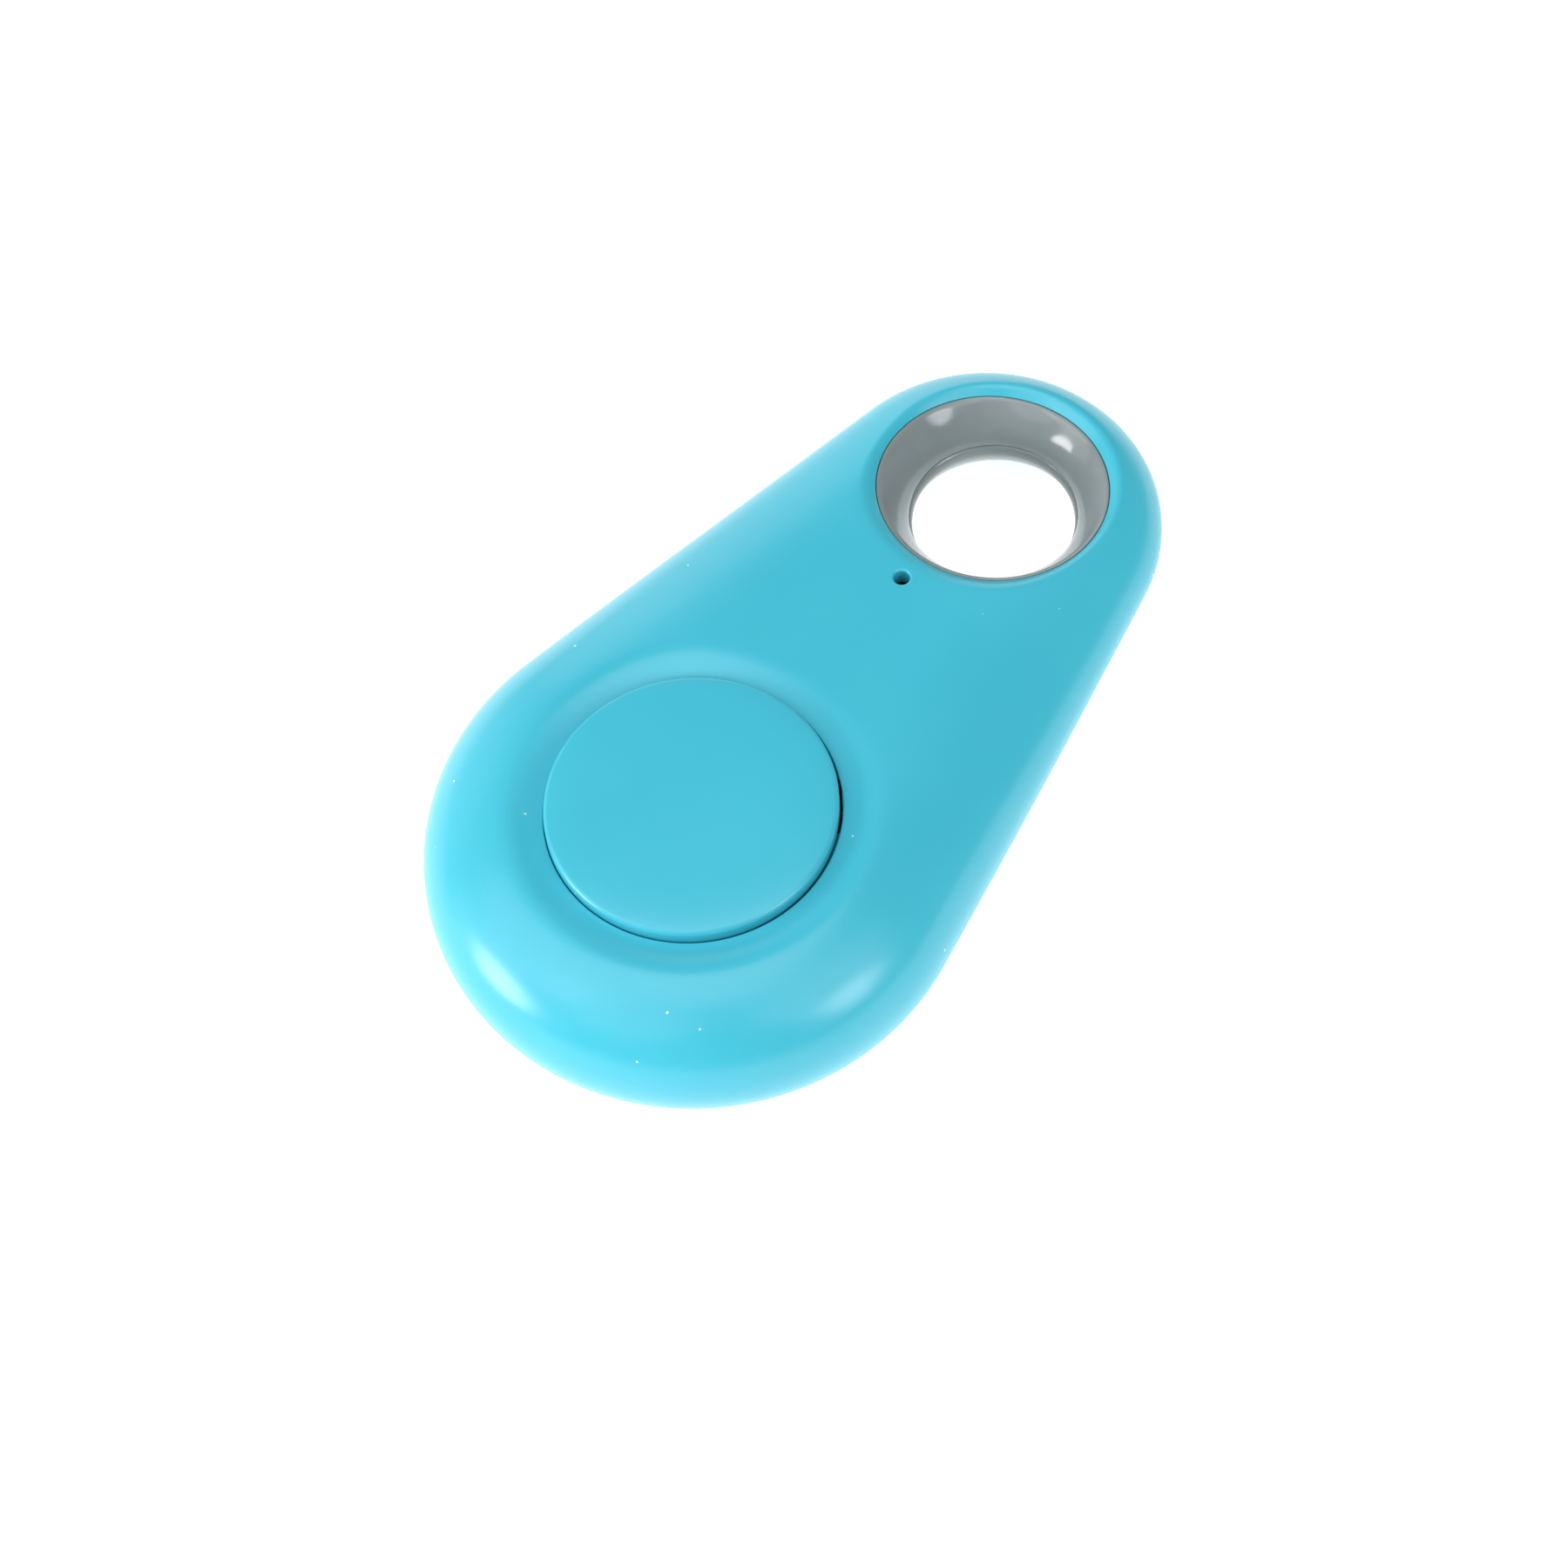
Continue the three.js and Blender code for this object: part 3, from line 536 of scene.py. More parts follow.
def front_outside():
    """The front cover's outer skin, with the well, the port and the eye sunk into a solid pebble."""
    skin = Skin()
    seam_inset = back_edge_inset(PART_Z + SEAM_ROUND)
    low = skin.loop(with_z(moved_in(seam_inset + SEAM_ROUND), PART_Z))
    loops = []
    for i in range(1, 5):
        turn = math.pi / 2 * i / 4
        inset = seam_inset + SEAM_ROUND * (1 - math.sin(turn))
        loops.append(with_z(moved_in(inset), PART_Z + SEAM_ROUND * (1 - math.cos(turn))))
    for z in np.linspace(PART_Z + SEAM_ROUND, MID_Z, 12)[1:]:
        loops.append(with_z(moved_in(back_edge_inset(z)), z))
    width, power = TOP_EDGE
    shoulder_turn = math.acos((1 - SHOULDER_INSET / width) ** (power / 2))
    for turn in np.linspace(0, shoulder_turn, 13)[1:]:
        loops.append(on_top(moved_in(width * (1 - math.cos(turn) ** (2 / power)))))
    shoulder = skin.chain(low, loops)

    dish_r = WELL_R + DISH_WIDTH
    radii = list(np.arange(dish_r, WELL_R + EDGE_R + 0.1, -0.24)) + lip_radii(WELL_R, EDGE_R)
    well = skin.loop(on_top(circle(radii[0], LOBE_Y)))
    end = skin.chain(well, [on_top(circle(r, LOBE_Y)) for r in radii[1:]])
    end = skin.chain(end, [with_z(circle(WELL_R, LOBE_Y), WELL_FLOOR_Z)])
    skin.fill(end)

    # The rings nearest the eye's rim. The rest of its mouth is left to the free points.
    mouth_radii = [r for r in eye_radii(20)[::-1] if r < EYE_R + 1.05]
    eye = skin.loop(on_top(circle(mouth_radii[0], EYE_Y)))
    end = skin.chain(eye, [on_top(circle(r, EYE_Y)) for r in mouth_radii[1:]])
    eye_low = skin.chain(end, [with_z(circle(EYE_R, EYE_Y), z) for z in (MID_Z, PART_Z)])

    lip_width = PORT_LIP[0]
    port_radii = [PORT_R + lip_width + 0.07] + lip_radii(PORT_R, lip_width)
    port = skin.loop(on_top(circle(port_radii[0], PORT_Y, PORT_STEPS)))
    end = skin.chain(port, [on_top(circle(r, PORT_Y, PORT_STEPS)) for r in port_radii[1:]])
    end = skin.chain(end, [with_z(circle(PORT_R, PORT_Y, PORT_STEPS), PORT_FLOOR_Z)])
    skin.fill(end)

    # The free points keep a little clear of each hole's outermost ring.
    clear = [
        (LOBE_Y, dish_r + 0.2),
        (EYE_Y, mouth_radii[0] + 0.15),
        (PORT_Y, port_radii[0] + 0.12),
    ]
    skin.fill(shoulder, [well, eye, port], free_points(clear), top_z)
    skin.fill(low, [eye_low])
    return skin.made("front_cover_shell")


def front_cover():
    hollow = combine(
        inner_pebble("hollow"), prism("skirt", SKIRT_INSET, 0, LIP_TOP_Z + SEAM), "UNION"
    )
    fittings = [
        disc("well_body", WELL_R + WELL_WALL, WELL_FLOOR_Z - WELL_FLOOR, ABOVE_Z, 0, LOBE_Y, 128),
        disc("collar", EYE_R + COLLAR_WALL, COLLAR_LOW_Z, ABOVE_Z, 0, EYE_Y, 128),
    ]
    for x, y in POST_PLACES:
        fittings.append(disc("post", POST_R, POST_LOW_Z, ABOVE_Z, x, y))
        fittings.append(disc("pin", PIN_R, PIN_LOW_Z, PIN_TOP_Z, x, y))
    for fitting in fittings:
        combine(hollow, fitting, "DIFFERENCE")
    cover = combine(front_outside(), hollow, "DIFFERENCE")
    through_z = WELL_FLOOR_Z + 0.2
    combine(cover, disc("boss_hole", BOSS_HOLE_R, MID_Z, through_z, 0, LOBE_Y), "DIFFERENCE")
    for angle in HOOK_ANGLES:
        x, y = round_lobe(SLOT_R, angle)
        slot = block("slot", SLOT_DEPTH, SLOT_WIDTH, MID_Z, through_z, x, y, angle)
        combine(cover, slot, "DIFFERENCE")
    return settle(shade(cover), "housing", "shell", "front_cover")


def rear_outside():
    """The rear cover's outer skin, from the seam round to the flat back, as a solid tray."""
    skin = Skin()
    seam_inset = back_edge_inset(REAR_TOP_Z)
    high = skin.loop(with_z(moved_in(seam_inset), REAR_TOP_Z))
    eye = skin.loop(on_back(circle(EYE_R, EYE_Y)))
    eye_high = skin.chain(eye, [with_z(circle(EYE_R, EYE_Y), REAR_TOP_Z)])

    # Free points: close rings along the seam, wider ones inside them, and rings round the eye. Those of
    # the outline give way to those of the eye where they meet.
    insets = np.concatenate([np.arange(0.2, 1.4, 0.2), np.arange(1.4, 4.6, STEP)])
    edge_rings = [moved_in(seam_inset + inset) for inset in insets]
    eye_rings = [circle(radius, EYE_Y) for radius in eye_radii(16)[1:]]
    free = np.concatenate(edge_rings + eye_rings)
    of_edge = np.arange(len(free)) < len(edge_rings) * len(OUTLINE)
    depth = inset_at(free[:, 0], free[:, 1])
    seam_here = inset_at_rise((MID_Z - REAR_TOP_Z) / (MID_Z - keel_z(free[:, 1])), BACK_EDGE)
    from_eye = np.hypot(free[:, 0], free[:, 1] - EYE_Y)
    free = free[(depth > seam_here + 0.06) & (~of_edge | (from_eye > EYE_R + 1.5))]
    middle = free_points([(EYE_Y, EYE_R + 1.6)])
    middle = middle[inset_at(middle[:, 0], middle[:, 1]) > 6.4]
    skin.fill(high, [eye], np.concatenate([free, middle]), back_z)
    skin.fill(high, [eye_high])
    return skin.made("rear_cover_shell")


def rear_cover():
    cover = combine(rear_outside(), inner_pebble("hollow"), "DIFFERENCE")
    lip = prism("lip", LIP_OUTER_INSET, WALL - SUNK, LIP_TOP_Z)
    combine(lip, prism("lip_inside", LIP_INNER_INSET, 0, LIP_TOP_Z + 1), "DIFFERENCE")
    combine(lip, block("lip_end", 60, 40, 0, 10, 0, LIP_END_Y + 20), "DIFFERENCE")
    combine(cover, lip, "UNION")
    for side_x in (-1, 1):
        for side_y in (-1, 1):
            x = side_x * REST_CIRCLE_R * math.cos(REST_ANGLE)
            y = LOBE_Y + side_y * REST_CIRCLE_R * math.sin(REST_ANGLE)
            post = disc("rest_post", REST_POST_R, WALL - SUNK, REST_POST_TOP_Z, x, y)
            combine(cover, post, "UNION")
    notch = block("pry_notch", *NOTCH_SIZE, WALL, PART_Z + 1, 0, REAR_LOW[1] - 0.5, 0, 0.2)
    combine(cover, notch, "DIFFERENCE")
    return settle(shade(cover), "back", "shell", "rear_cover")


def button_cap():
    """The cap, turned from its stem's tip out to its edge and back over its crown, and its hooks."""
    centre_r = BUTTON_R - BUTTON_FILLET
    centre_z = BUTTON_TOP_Z - BUTTON_CROWN - BUTTON_FILLET
    profile = [(0, 8.75), (1.1, 8.75), (1.2, 8.85), (1.2, 9.8), (BUTTON_R - 0.1, 9.8), (BUTTON_R, 9.9)]
    for i in range(11):
        turn = math.radians(81) * i / 10
        profile.append(
            (centre_r + BUTTON_FILLET * math.cos(turn), centre_z + BUTTON_FILLET * math.sin(turn))
        )
    crown_r, crown_z = profile[-1]
    for i in range(1, 25):
        radius = crown_r * (1 - i / 24)
        profile.append((radius, crown_z + (BUTTON_TOP_Z - crown_z) * (1 - (radius / crown_r) ** 6)))
    shift_x = BUTTON_SHIFT * math.cos(HOOK_ANGLES[0])
    shift_y = BUTTON_SHIFT * math.sin(HOOK_ANGLES[0])
    cap = turned("button_cap_shell", profile, LOBE_Y - shift_y, x=-shift_x)
    for angle in HOOK_ANGLES:
        for inner, top in (HOOK_LEG, HOOK_FOOT):
            x, y = round_lobe((inner + HOOK_OUTER_R) / 2, angle)
            depth = HOOK_OUTER_R - inner
            hook = block("hook", depth, HOOK_WIDTH, HOOK_LOW_Z, top, x, y, angle, 0.06)
            combine(cap, hook, "UNION")
    return settle(shade(cap), "button", "shell", "button_cap")


# ---- the eye's liner -----------------------------------------------------------------------------

def leaning(rim, side):
    """A turned ring's lean: none at the widest line, the full slope at the rim."""
    height, slope = rim

    def lean(ring):
        share = np.clip(ring[:, 2] / height, 0, 1)
        z = MID_Z + side * (ring[:, 2] - slope * ring[:, 1] * share)
        return with_z(ring[:, :2], z)

    return lean


def liner_front():
    """The liner's front half: up its outside, over its rim, and down its flare to the waist."""
    rim_h = EYE_FRONT[0]
    outer_r, waist_r, flare, waist_h = 6.66, 4.88, 1.62, 0.25
    profile = [(6.2, waist_h), (outer_r, 1.25), (outer_r, rim_h - 0.06), (6.64, rim_h - 0.015)]
    profile += [(6.6, rim_h), (6.51, rim_h - 0.03)]
    for share in np.linspace(1, 0, 25)[1:]:
        profile.append((waist_r + flare * share**1.6, waist_h + (rim_h - waist_h) * share))
    liner = turned("liner_front_ring", profile, EYE_Y, shape=leaning(EYE_FRONT, 1))
    return settle(shade(liner), "housing", "liner", "liner_front")


def liner_rear():
    """The liner's rear half, with heights counted downwards: its neck ends in a rounded top edge."""
    rim_h = EYE_REAR[0]
    waist_r, flare, neck_round = 4.7, 1.8, 0.3
    top_h, waist_h = SEAM - 0.25, 0.45
    profile = [(6.2, top_h), (6.6, rim_h - 0.1), (6.56, rim_h)]
    for share in np.linspace(1, 0, 25):
        profile.append((waist_r + flare * share**1.4, waist_h + (rim_h - waist_h) * share))
    for turn in np.linspace(0, math.pi / 2, 8)[1:]:
        radius = waist_r + neck_round * (1 - math.cos(turn))
        profile.append((radius, waist_h + (top_h - waist_h) * math.sin(turn)))
    liner = turned("liner_rear_ring", profile, EYE_Y, shape=leaning(EYE_REAR, -1))
    return settle(shade(liner), "back", "liner", "liner_rear")


# ---- inside --------------------------------------------------------------------------------------

def extruded(name, outline_xz, y0, y1):
    """A sheet-metal profile in the XZ plane, carried along Y."""
    skin = Skin()
    near = skin.loop([(x, y0, z) for x, z in outline_xz])
    far = skin.chain(near, [[(x, y1, z) for x, z in outline_xz]])
    skin.faces += [tuple(near), tuple(far)]
    return skin.made(name)


def bent(corners, thickness, radius, steps=5):
    """The outline of a bent strip: both sides of a path of (x, z) corners, with rounded bends."""
    path = [np.array(corners[0], float)]
    for before, corner, after in zip(corners, corners[1:], corners[2:]):
        corner = np.array(corner, float)
        back = (np.array(before) - corner) / np.linalg.norm(np.array(before) - corner)
        on = (np.array(after) - corner) / np.linalg.norm(np.array(after) - corner)
        for i in range(steps + 1):
            t = i / steps
            path.append(corner + back * radius * (1 - t) ** 2 + on * radius * t**2)
    path.append(np.array(corners[-1], float))
    path = np.array(path)
    along = np.gradient(path, axis=0)
    along /= np.linalg.norm(along, axis=1)[:, None]
    normal = np.stack([-along[:, 1], along[:, 0]], 1) * thickness / 2
    return [tuple(p) for p in np.concatenate([path + normal, (path - normal)[::-1]])]


def softened(node, round_by):
    """A CAD part's own shape with its outer edges rounded off, as moulding or stamping leaves them."""
    made = frame["nodes"][node].copy()
    made.data = made.data.copy()
    made.parent = None
    made.name = node + "_softened"
    for key in [key for key in made.keys() if key.startswith("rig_")]:
        del made[key]
    bpy.context.scene.collection.objects.link(made)
    work = bmesh.new()
    work.from_mesh(made.data)
    bmesh.ops.remove_doubles(work, verts=work.verts, dist=0.001 * MM)
    bmesh.ops.dissolve_limit(work, angle_limit=math.radians(1), verts=work.verts, edges=work.edges)
    sharp_angle = math.radians(50)
    sharp = [edge for edge in work.edges if edge.is_manifold and edge.calc_face_angle() > sharp_angle]
    bmesh.ops.bevel(
        work,
        geom=sharp,
        offset=round_by * MM,
        segments=2,
        profile=0.5,
        affect="EDGES",
        clamp_overlap=True,
    )
    bmesh.ops.recalc_face_normals(work, faces=work.faces)
    work.to_mesh(made.data)
    work.free()
    return settle(shade(made, 40), BODY_OF_NODE[node], SLOT_OF_NODE[node], node)


def cell_parts():
    """The coin cell: its rolled can, the seal ring and the domed lid."""
    can_low, can_high = span("cell_can")
    seal_low, seal_high = span("cell_seal")
    lid_low, lid_high = span("cell_lid")
    r, z, top = can_high[0], can_low[2], can_high[2]
    base_round, rolled_round = 0.35, 0.25
    profile = [(0, z + 0.03), (r - 1.6, z + 0.03), (r - 1.5, z)]
    for i in range(7):
        turn = math.pi / 2 * i / 6
        radius = r - base_round + base_round * math.sin(turn)
        profile.append((radius, z + base_round - base_round * math.cos(turn)))
    for i in range(9):
        turn = math.radians(130) * i / 8
        radius = r - rolled_round + rolled_round * math.cos(turn)
        profile.append((radius, top - rolled_round + rolled_round * math.sin(turn)))
    profile += [(r - 0.66, top - 0.2), (r - 0.7, top - 0.6), (0, top - 0.6)]
    can = settle(shade(turned("cell_can_rolled", profile)), "housing", "cell_steel", "cell_can")

    low, high = seal_low[2], seal_high[2]
    inner, outer = seal_high[0] - 0.45, seal_high[0]
    profile = [(inner, low), (outer, low), (outer, high - 0.1), (outer - 0.1, high)]
    profile += [(inner + 0.1, high), (inner, high - 0.1)]
    seal = settle(shade(turned("cell_seal_ring", profile)), "housing", "seal", "cell_seal")

    r, low, high = lid_high[0], lid_low[2], lid_high[2]
    profile = [(0, low), (r, low), (r, high - 0.3)]
    for i in range(1, 7):
        turn = math.pi / 2 * i / 6
        profile.append((r - 0.3 + 0.3 * math.cos(turn), high - 0.3 + 0.22 * math.sin(turn)))
    profile += [(r - 0.9, high - 0.06), (r - 1.1, high), (0, high)]
    lid = settle(shade(turned("cell_lid_domed", profile)), "housing", "cell_steel", "cell_lid")
    return [(can, "cell_steel"), (seal, "seal"), (lid, "cell_steel")]


def cell_strap():
    """The bent spring strap under the cell, with its dimples, window and soldered feet."""
    low, high = span("cell_strap")
    sheet, bend_r = 0.25, 0.3
    # The legs stand just outside the cell, this far beyond the button cap's edge.
    leg_x = CAP_HIGH[1] - LOBE_Y + 2.45
    foot_x, bottom, top = high[0], low[2] + sheet / 2, high[2] - sheet / 2
    corners = [(-foot_x, top), (-leg_x, top), (-leg_x, bottom)]
    corners += [(leg_x, bottom), (leg_x, top), (foot_x, top)]
    strap = extruded("cell_strap_bent", bent(corners, sheet, bend_r), low[1], high[1])
    for side in (-1, 1):
        dimple = [(0, 1.55), (1.1, 1.55), (1.1, 1.68), (0.8, 1.76), (0.5, 1.81), (0, 1.83)]
        combine(strap, turned("dimple", dimple, LOBE_Y, 40, side * 5), "UNION")
    combine(strap, block("window", 5, 1.6, 1, 3, 0, LOBE_Y, 0, 0.35), "DIFFERENCE")
    return settle(shade(strap), "housing", "contact_steel", "cell_strap")


def circuit_board():
    """The board, cut round the eye and drilled for the cover's pins."""
    z0, z1 = BOARD_LOW[2], BOARD_HIGH[2]
    board = prism("circuit_board_cut", BOARD_INSET, z0, z1)
    combine(board, block("end", 60, 60, z0 - 1, z1 + 1, 0, BOARD_HIGH[1] + 30), "DIFFERENCE")
    combine(board, disc("eye_cut", BOARD_EYE_R, z0 - 1, z1 + 1, 0, EYE_Y, 128), "DIFFERENCE")
    for x, y in POST_PLACES:
        combine(board, disc("pin_hole", PIN_HOLE_R, z0 - 1, z1 + 1, x, y), "DIFFERENCE")
    return settle(shade(board), "housing", "board", "circuit_board")


def joined(name, parts, places):
    """One mesh from several, each keeping its own material. places gives each part's material."""
    work = bmesh.new()
    mesh = bpy.data.meshes.new(name)
    slots = []
    for part, material in zip(parts, places):
        if material not in slots:
            slots.append(material)
        first = len(work.faces)
        work.from_mesh(part.data)
        work.faces.ensure_lookup_table()
        for face in work.faces[first:]:
            face.material_index = slots.index(material)
        bpy.data.objects.remove(part)
    work.to_mesh(mesh)
    work.free()
    for material in slots:
        mesh.materials.append(FINISHES[material])
    made = bpy.data.objects.new(name, mesh)
    bpy.context.scene.collection.objects.link(made)
    return made


def board_metal():
    """Tinned lands and masked traces on the board's lower face."""
    z1 = BOARD_LOW[2]
    z0 = z1 - 0.03
    parts, places = [], []
    for side in (-1, 1):
        parts.append(block("land", 1.9, 4.6, z0, z1, side * 11.2, LOBE_Y, 0, 0.012, 1))
        places.append("contact_steel")
        for i in range(3):
            x, y = side * (10.0 - 0.7 * i), LOBE_Y + 12.0 + 0.5 * i
            parts.append(block("trace", 0.22, 9.0 - i, z0 + 0.01, z1, x, y, 0, 0.008, 1))
            places.append("board")
    for i in range(5):
        parts.append(disc("test_land", 0.55, z0, z1, -3.2 + 1.6 * i, 4.8, 32))
        places.append("copper")
    return settle(shade(joined("board_lands", parts, places)), "housing", "board")


def end_capped(node, body, cap_length):
    """A small chip part from its node's box: a body, thinner by a plating's depth, between two caps."""
    low, high = span(node)
    x, y = (low[:2] + high[:2]) / 2
    width, depth = high[0] - low[0], high[1] - low[1]
    thin = 0.025
    body_size = (width - cap_length, depth - 2 * thin)
    parts = [block("body", *body_size, low[2] + thin, high[2] - thin, x, y, 0, 0.03)]
    for side in (-1, 1):
        cap_x = x + side * (width - cap_length) / 2
        parts.append(block("cap", cap_length, depth, low[2], high[2], cap_x, y, 0, 0.06))
    piece = joined(node + "_capped", parts, [body, "contact_steel", "contact_steel"])
    return settle(shade(piece), "housing", SLOT_OF_NODE[node], node)


def radio_chip():
    """The radio chip: a moulded block with lands along each side and a corner dot."""
    low, high = span("radio_chip")
    x, y = (low[:2] + high[:2]) / 2
    size = high[0] - low[0]
    body = block("body", size, size, low[2] + 0.02, high[2], x, y, 0, 0.05)
    dot_z = high[2] - 0.04
    dot = [(0, dot_z), (0.26, dot_z), (0.3, ABOVE_Z), (0, ABOVE_Z)]
    combine(body, turned("dot", dot, y + 1.8, 24, x - 1.8), "DIFFERENCE")
    parts, places = [body], ["black_plastic"]
    for turn in range(4):
        angle = math.pi / 2 * turn
        for i in range(8):
            across, out = -1.75 + 0.5 * i, size / 2 - 0.12
            px = x + out * math.cos(angle) - across * math.sin(angle)
            py = y + out * math.sin(angle) + across * math.cos(angle)
            parts.append(block("land", 0.28, 0.24, low[2], low[2] + 0.2, px, py, angle))
            places.append("contact_steel")
    piece = joined("radio_chip_moulded", parts, places)
    return settle(shade(piece), "housing", "black_plastic", "radio_chip")


def buzzer_coil():
    """The sounder's winding, as stacked turns of enamelled wire."""
    low, high = span("buzzer_coil")
    y = (low[1] + high[1]) / 2
    inner, outer = 0.8, high[0]
    wire = 0.055  # the wire's radius, in millimetres
    parts = [turned("core_turns", [
        (inner, low[2]), (outer - wire, low[2]), (outer - wire, high[2]), (inner, high[2]),
    ], y, 48)]
    count = round((high[2] - low[2]) / (2 * wire))
    for i in range(count):
        z = low[2] + wire + (high[2] - low[2] - 2 * wire) * i / (count - 1)
        ring = []
        for k in range(8):
            turn = math.pi * k / 4
            ring.append((outer - wire + wire * math.cos(turn), z + wire * math.sin(turn)))
        parts.append(turned("turn", ring, y, 48))
    piece = joined("buzzer_coil_wound", parts, ["copper"] * len(parts))
    return settle(shade(piece, 60), "housing", "copper", "buzzer_coil")


# ---- materials -----------------------------------------------------------------------------------

class Finish:
    """A procedural material, with its pattern coordinates in millimetres."""

    def __init__(self, name, roughness, metallic=0.0):
        self.material = bpy.data.materials.new(name)
        self.material.use_nodes = True
        self.tree = self.material.node_tree
        self.shader = self.tree.nodes["Principled BSDF"]
        self.shader.inputs["Roughness"].default_value = roughness
        self.shader.inputs["Metallic"].default_value = metallic
        place = self.tree.nodes.new("ShaderNodeTexCoord")
        scaled = self.node("ShaderNodeVectorMath", operation="SCALE")
        scaled.inputs["Scale"].default_value = 1 / MM
        self.link(place.outputs["Object"], scaled.inputs[0])
        self.mm = scaled.outputs[0]

    def node(self, kind, **settings):
        node = self.tree.nodes.new(kind)
        for key, value in settings.items():
            setattr(node, key, value)
        return node

    def link(self, a, b):
        self.tree.links.new(a, b)

    def noise(self, size, detail=2.0, stretch=None, roughness=0.5):
        """Noise with features of about size millimetres, 0 to 1."""
        node = self.node("ShaderNodeTexNoise")
        node.inputs["Scale"].default_value = 1 / size
        node.inputs["Detail"].default_value = detail
        node.inputs["Roughness"].default_value = roughness
        source = self.mm
        if stretch:
            mapping = self.node("ShaderNodeMapping")
            mapping.inputs["Scale"].default_value = stretch
            self.link(self.mm, mapping.inputs["Vector"])
            source = mapping.outputs[0]
        self.link(source, node.inputs["Vector"])
        return node.outputs["Fac"]

    def ramp(self, value, low, high, start=0.0, end=1.0):
        """value from low to high, mapped to start to end."""
        node = self.node("ShaderNodeMapRange", interpolation_type="SMOOTHSTEP")
        for key, number in (("From Min", low), ("From Max", high), ("To Min", start), ("To Max", end)):
            node.inputs[key].default_value = number
        self.link(value, node.inputs["Value"])
        return node.outputs["Result"]

    def mix(self, factor, a, b):
        """Colour a to colour b. Each is four numbers or a socket."""
        node = self.node("ShaderNodeMix", data_type="RGBA")
        self.link(factor, node.inputs["Factor"])
        for key, colour in (("A", a), ("B", b)):
            socket = [s for s in node.inputs if s.name == key and s.type == "RGBA"][0]
            if isinstance(colour, tuple):
                socket.default_value = colour
            else:
                self.link(colour, socket)
        return [s for s in node.outputs if s.type == "RGBA"][0]

    def multiply(self, a, b):
        node = self.node("ShaderNodeMath", operation="MULTIPLY")
        self.link(a, node.inputs[0])
        self.link(b, node.inputs[1])
        return node.outputs[0]

    def specks(self, spacing, size, share):
        """Sparse round specks: 1 on a speck, 0 between them."""
        cells = self.node("ShaderNodeTexVoronoi")
        cells.inputs["Scale"].default_value = 1 / spacing
        self.link(self.mm, cells.inputs["Vector"])
        near = self.ramp(cells.outputs["Distance"], size / spacing * 0.5, size / spacing, 1.0, 0.0)
        split = self.node("ShaderNodeSeparateColor")
        self.link(cells.outputs["Color"], split.inputs[0])
        chosen = self.ramp(split.outputs[0], 1 - share, 1 - share + 0.02)
        return self.multiply(near, chosen)

    def base(self, colour):
        self.link(colour, self.shader.inputs["Base Color"])

    def rough(self, value):
        self.link(value, self.shader.inputs["Roughness"])

    def bump(self, height, strength, distance):
        node = self.node("ShaderNodeBump")
        node.inputs["Strength"].default_value = strength
        node.inputs["Distance"].default_value = distance * MM
        self.link(height, node.inputs["Height"])
        self.link(node.outputs["Normal"], self.shader.inputs["Normal"])


def shell_finish():
    finish = Finish("shell_satin_plastic", 0.27)
    cloud = finish.ramp(finish.noise(9.0), 0.3, 0.7)
    tint = finish.mix(cloud, (0.05, 0.475, 0.617, 1), (0.056, 0.49, 0.632, 1))
    dust = finish.specks(1.7, 0.1, 0.3)
    finish.base(finish.mix(finish.ramp(dust, 0, 1, 0, 0.8), tint, (0.78, 0.88, 0.9, 1)))
    finish.bump(finish.noise(6.0), 0.1, 0.01)
    return finish.material


def liner_finish():
    finish = Finish("liner_grey_gloss", 0.2)
    cloud = finish.ramp(finish.noise(4.0), 0.3, 0.7)
    tint = finish.mix(cloud, (0.22, 0.26, 0.265, 1), (0.25, 0.29, 0.295, 1))
    dust = finish.specks(1.2, 0.05, 0.18)
    finish.base(finish.mix(finish.ramp(dust, 0, 1, 0, 0.6), tint, (0.7, 0.74, 0.74, 1)))
    scratches = finish.noise(0.6, 3.0, (0.5, 2.0, 1.0), 0.6)
    finish.rough(finish.ramp(scratches, 0.35, 0.75, 0.12, 0.2))
    finish.bump(scratches, 0.1, 0.012)
    return finish.material


def plain_finish(name, colour, other, roughness, metallic=0.0):
    """A simple finish: two close tints in a cloud, with a fine grain in its gloss and surface."""
    finish = Finish(name, roughness, metallic)
    finish.base(finish.mix(finish.ramp(finish.noise(2.5), 0.3, 0.7), colour + (1,), other + (1,)))
    texture = finish.noise(0.4, 3.0)
    finish.rough(finish.ramp(texture, 0.25, 0.75, roughness * 0.85, roughness * 1.2))
    finish.bump(texture, 0.15, 0.01)
    return finish.material


# ---- the studio ----------------------------------------------------------------------------------

def camera():
    """A long lens high over the tag's front right, rolled a little, as fitted to the model."""
    azimuth, elevation, roll = math.radians(43.369), math.radians(60.145), math.radians(-6.117)
    target = Vector((1.027, -4.369, 5.0)) * MM
    distance = 235.578 * MM
    back = Vector((
        math.sin(azimuth) * math.cos(elevation),
        -math.cos(azimuth) * math.cos(elevation),
        math.sin(elevation),
    ))
    level = Vector((math.cos(azimuth), math.sin(azimuth), 0))
    upward = back.cross(level)
    right = level * math.cos(roll) + upward * math.sin(roll)
    up = upward * math.cos(roll) - level * math.sin(roll)
    lens = bpy.data.cameras.new("camera")
    lens.sensor_width = 36
    lens.lens = 96.52
    lens.clip_start, lens.clip_end = 0.01, 20
    made = bpy.data.objects.new("camera", lens)
    place = Matrix((right, up, back)).transposed().to_4x4()
    place.translation = target + back * distance
    made.matrix_world = place
    bpy.context.scene.collection.objects.link(made)
    bpy.context.scene.camera = made


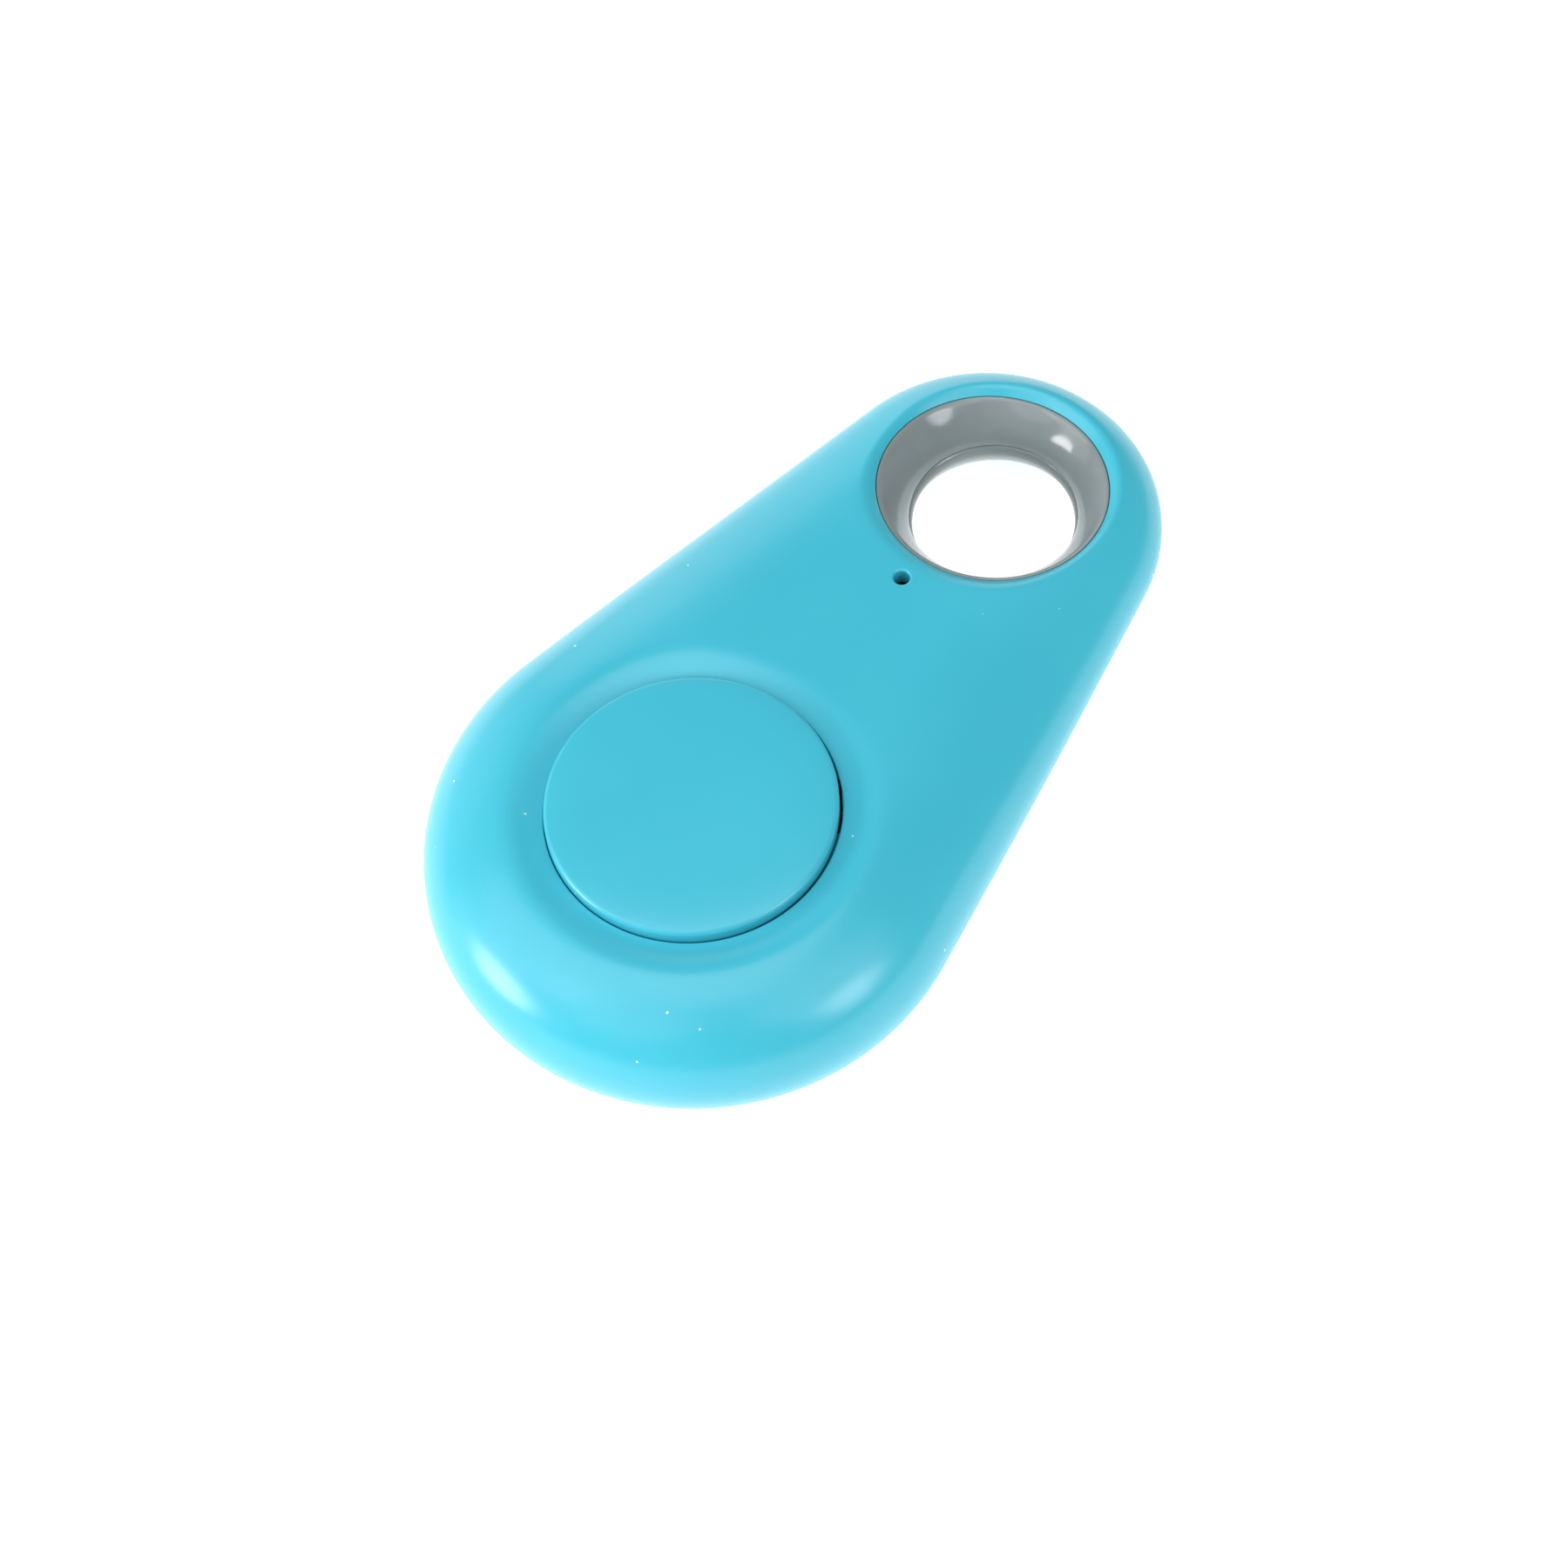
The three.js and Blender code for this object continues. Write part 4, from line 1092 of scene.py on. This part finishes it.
# The lights stand at one distance from a place inside the tag, in metres. Each has an azimuth and an
# elevation in degrees, a width in metres and a power in watts. Azimuth 0 is in front, on the -Y side,
# and 90 on the +X side. The first seven are broad, and the last two make the liner's small highlights.
LIGHT_DISTANCE = 0.7
LIGHT_TARGET = Vector((0, -0.004, 0.005))
SOFTBOXES = (
    ("front_left_low", 315, 15, 0.5, 0.7),
    ("front_left_high", 315, 50, 0.5, 1.25),
    ("front_high", 0, 50, 0.5, 0.72),
    ("right_high", 90, 50, 0.5, 0.95),
    ("back_left_low", 225, 15, 0.5, 0.85),
    ("left_low", 270, 15, 0.5, 0.4),
    ("overhead", 0, 89, 0.5, 1.33),
    ("left_glint", 326, 13, 0.28, 2.5),
    ("right_glint", 93, 28, 0.26, 1.2),
)
AIR_STRENGTH = 0.18
FLOOR_GLOW = 0.7
FLOOR_HALF = 3.0


def softbox(name, azimuth, elevation, size, power):
    """A round light that faces the tag."""
    light = bpy.data.lights.new(name, "AREA")
    light.shape = "DISK"
    light.size = size
    light.energy = power
    made = bpy.data.objects.new(name, light)
    turn, rise = math.radians(azimuth), math.radians(elevation)
    out = Vector((math.sin(turn) * math.cos(rise), -math.cos(turn) * math.cos(rise), math.sin(rise)))
    made.location = LIGHT_TARGET + out * LIGHT_DISTANCE
    made.rotation_mode = "QUATERNION"
    made.rotation_quaternion = out.to_track_quat("Z", "Y")
    bpy.context.scene.collection.objects.link(made)


def studio():
    """The air's light, the pale table just under the tag, and the lights."""
    scene = bpy.context.scene
    scene.view_settings.view_transform = "Standard"
    world = bpy.data.worlds.new("studio_air")
    world.use_nodes = True
    world.node_tree.nodes["Background"].inputs["Color"].default_value = (1, 1, 1, 1)
    world.node_tree.nodes["Background"].inputs["Strength"].default_value = AIR_STRENGTH
    scene.world = world

    floor_mesh = bpy.data.meshes.new("floor")
    corners = [(x * FLOOR_HALF, y * FLOOR_HALF, 0) for x, y in ((-1, -1), (1, -1), (1, 1), (-1, 1))]
    floor_mesh.from_pydata(corners, [], [(0, 1, 2, 3)])
    floor = bpy.data.objects.new("floor", floor_mesh)
    floor.location.z = -0.05 * MM
    scene.collection.objects.link(floor)
    table = Finish("pale_table", 0.9)
    cloud = table.ramp(table.noise(40.0), 0.3, 0.7)
    table.base(table.mix(cloud, (0.8, 0.8, 0.8, 1), (0.82, 0.82, 0.82, 1)))
    table.shader.inputs["Emission Color"].default_value = (1, 1, 1, 1)
    table.shader.inputs["Emission Strength"].default_value = FLOOR_GLOW
    floor.data.materials.append(table.material)

    for name, azimuth, elevation, size, power in SOFTBOXES:
        softbox(name, azimuth, elevation, size, power)


# ---- the tag -------------------------------------------------------------------------------------

FINISHES = {
    "shell": shell_finish(),
    "liner": liner_finish(),
    "board": plain_finish("board_mask", (0.012, 0.09, 0.045), (0.015, 0.105, 0.05), 0.35),
    "cell_steel": plain_finish("fine_cell_steel", (0.62, 0.62, 0.63), (0.58, 0.58, 0.59), 0.24, 1.0),
    "contact_steel": plain_finish("fine_contact_steel", (0.6, 0.6, 0.6), (0.55, 0.55, 0.56), 0.3, 1.0),
    "black_plastic": plain_finish("fine_black_plastic", (0.016, 0.016, 0.018), (0.02, 0.02, 0.022), 0.5),
    "seal": plain_finish("fine_seal_plastic", (0.1, 0.1, 0.105), (0.12, 0.12, 0.125), 0.6),
    "copper": plain_finish("copper_wire", (0.72, 0.32, 0.14), (0.66, 0.28, 0.12), 0.32, 1.0),
    "ceramic": plain_finish("fine_ceramic", (0.36, 0.27, 0.17), (0.4, 0.3, 0.19), 0.55),
    "white_ceramic": plain_finish("fine_white_ceramic", (0.78, 0.76, 0.72), (0.72, 0.7, 0.66), 0.5),
    "led_resin": plain_finish("fine_led_resin", (0.8, 0.75, 0.55), (0.76, 0.7, 0.5), 0.25),
}


def dress(pieces):
    """Gives each piece its finish by slot."""
    for piece, slot in pieces:
        piece.data.materials.clear()
        piece.data.materials.append(FINISHES[slot])


OWN_SHAPES = {"radio_chip", "cell_strap", *(f"resistor_{i + 1}" for i in range(4))}
SLOT_OF_NODE = {part["node"]: part["material_slot"] for part in frame["record"]["subparts"]}
BODY_OF_NODE = {
    node: body for body, nodes in frame["record"]["behaviour"]["bodies"].items() for node in nodes
}
for name, node in frame["nodes"].items():
    node.data.materials.clear()
    node.data.materials.append(FINISHES[SLOT_OF_NODE[name]])

# Plain moulded and stamped parts keep their CAD shape, with softened edges.
SOFTENED_SLOTS = ("black_plastic", "contact_steel", "white_ceramic")
for name in sorted(frame["nodes"]):
    if SLOT_OF_NODE[name] in SOFTENED_SLOTS and name not in OWN_SHAPES:
        softened(name, 0.05)
dress([(make(), "shell") for make in (front_cover, rear_cover, button_cap)])
dress([(make(), "liner") for make in (liner_front, liner_rear)])
dress(cell_parts())
dress([(cell_strap(), "contact_steel"), (circuit_board(), "board")])
board_metal()
radio_chip()
buzzer_coil()
for i in range(6):
    end_capped(f"capacitor_{i + 1}", "ceramic", 0.36)
for i in range(4):
    end_capped(f"resistor_{i + 1}", "black_plastic", 0.3)
end_capped("status_led", "led_resin", 0.3)

camera()
studio()
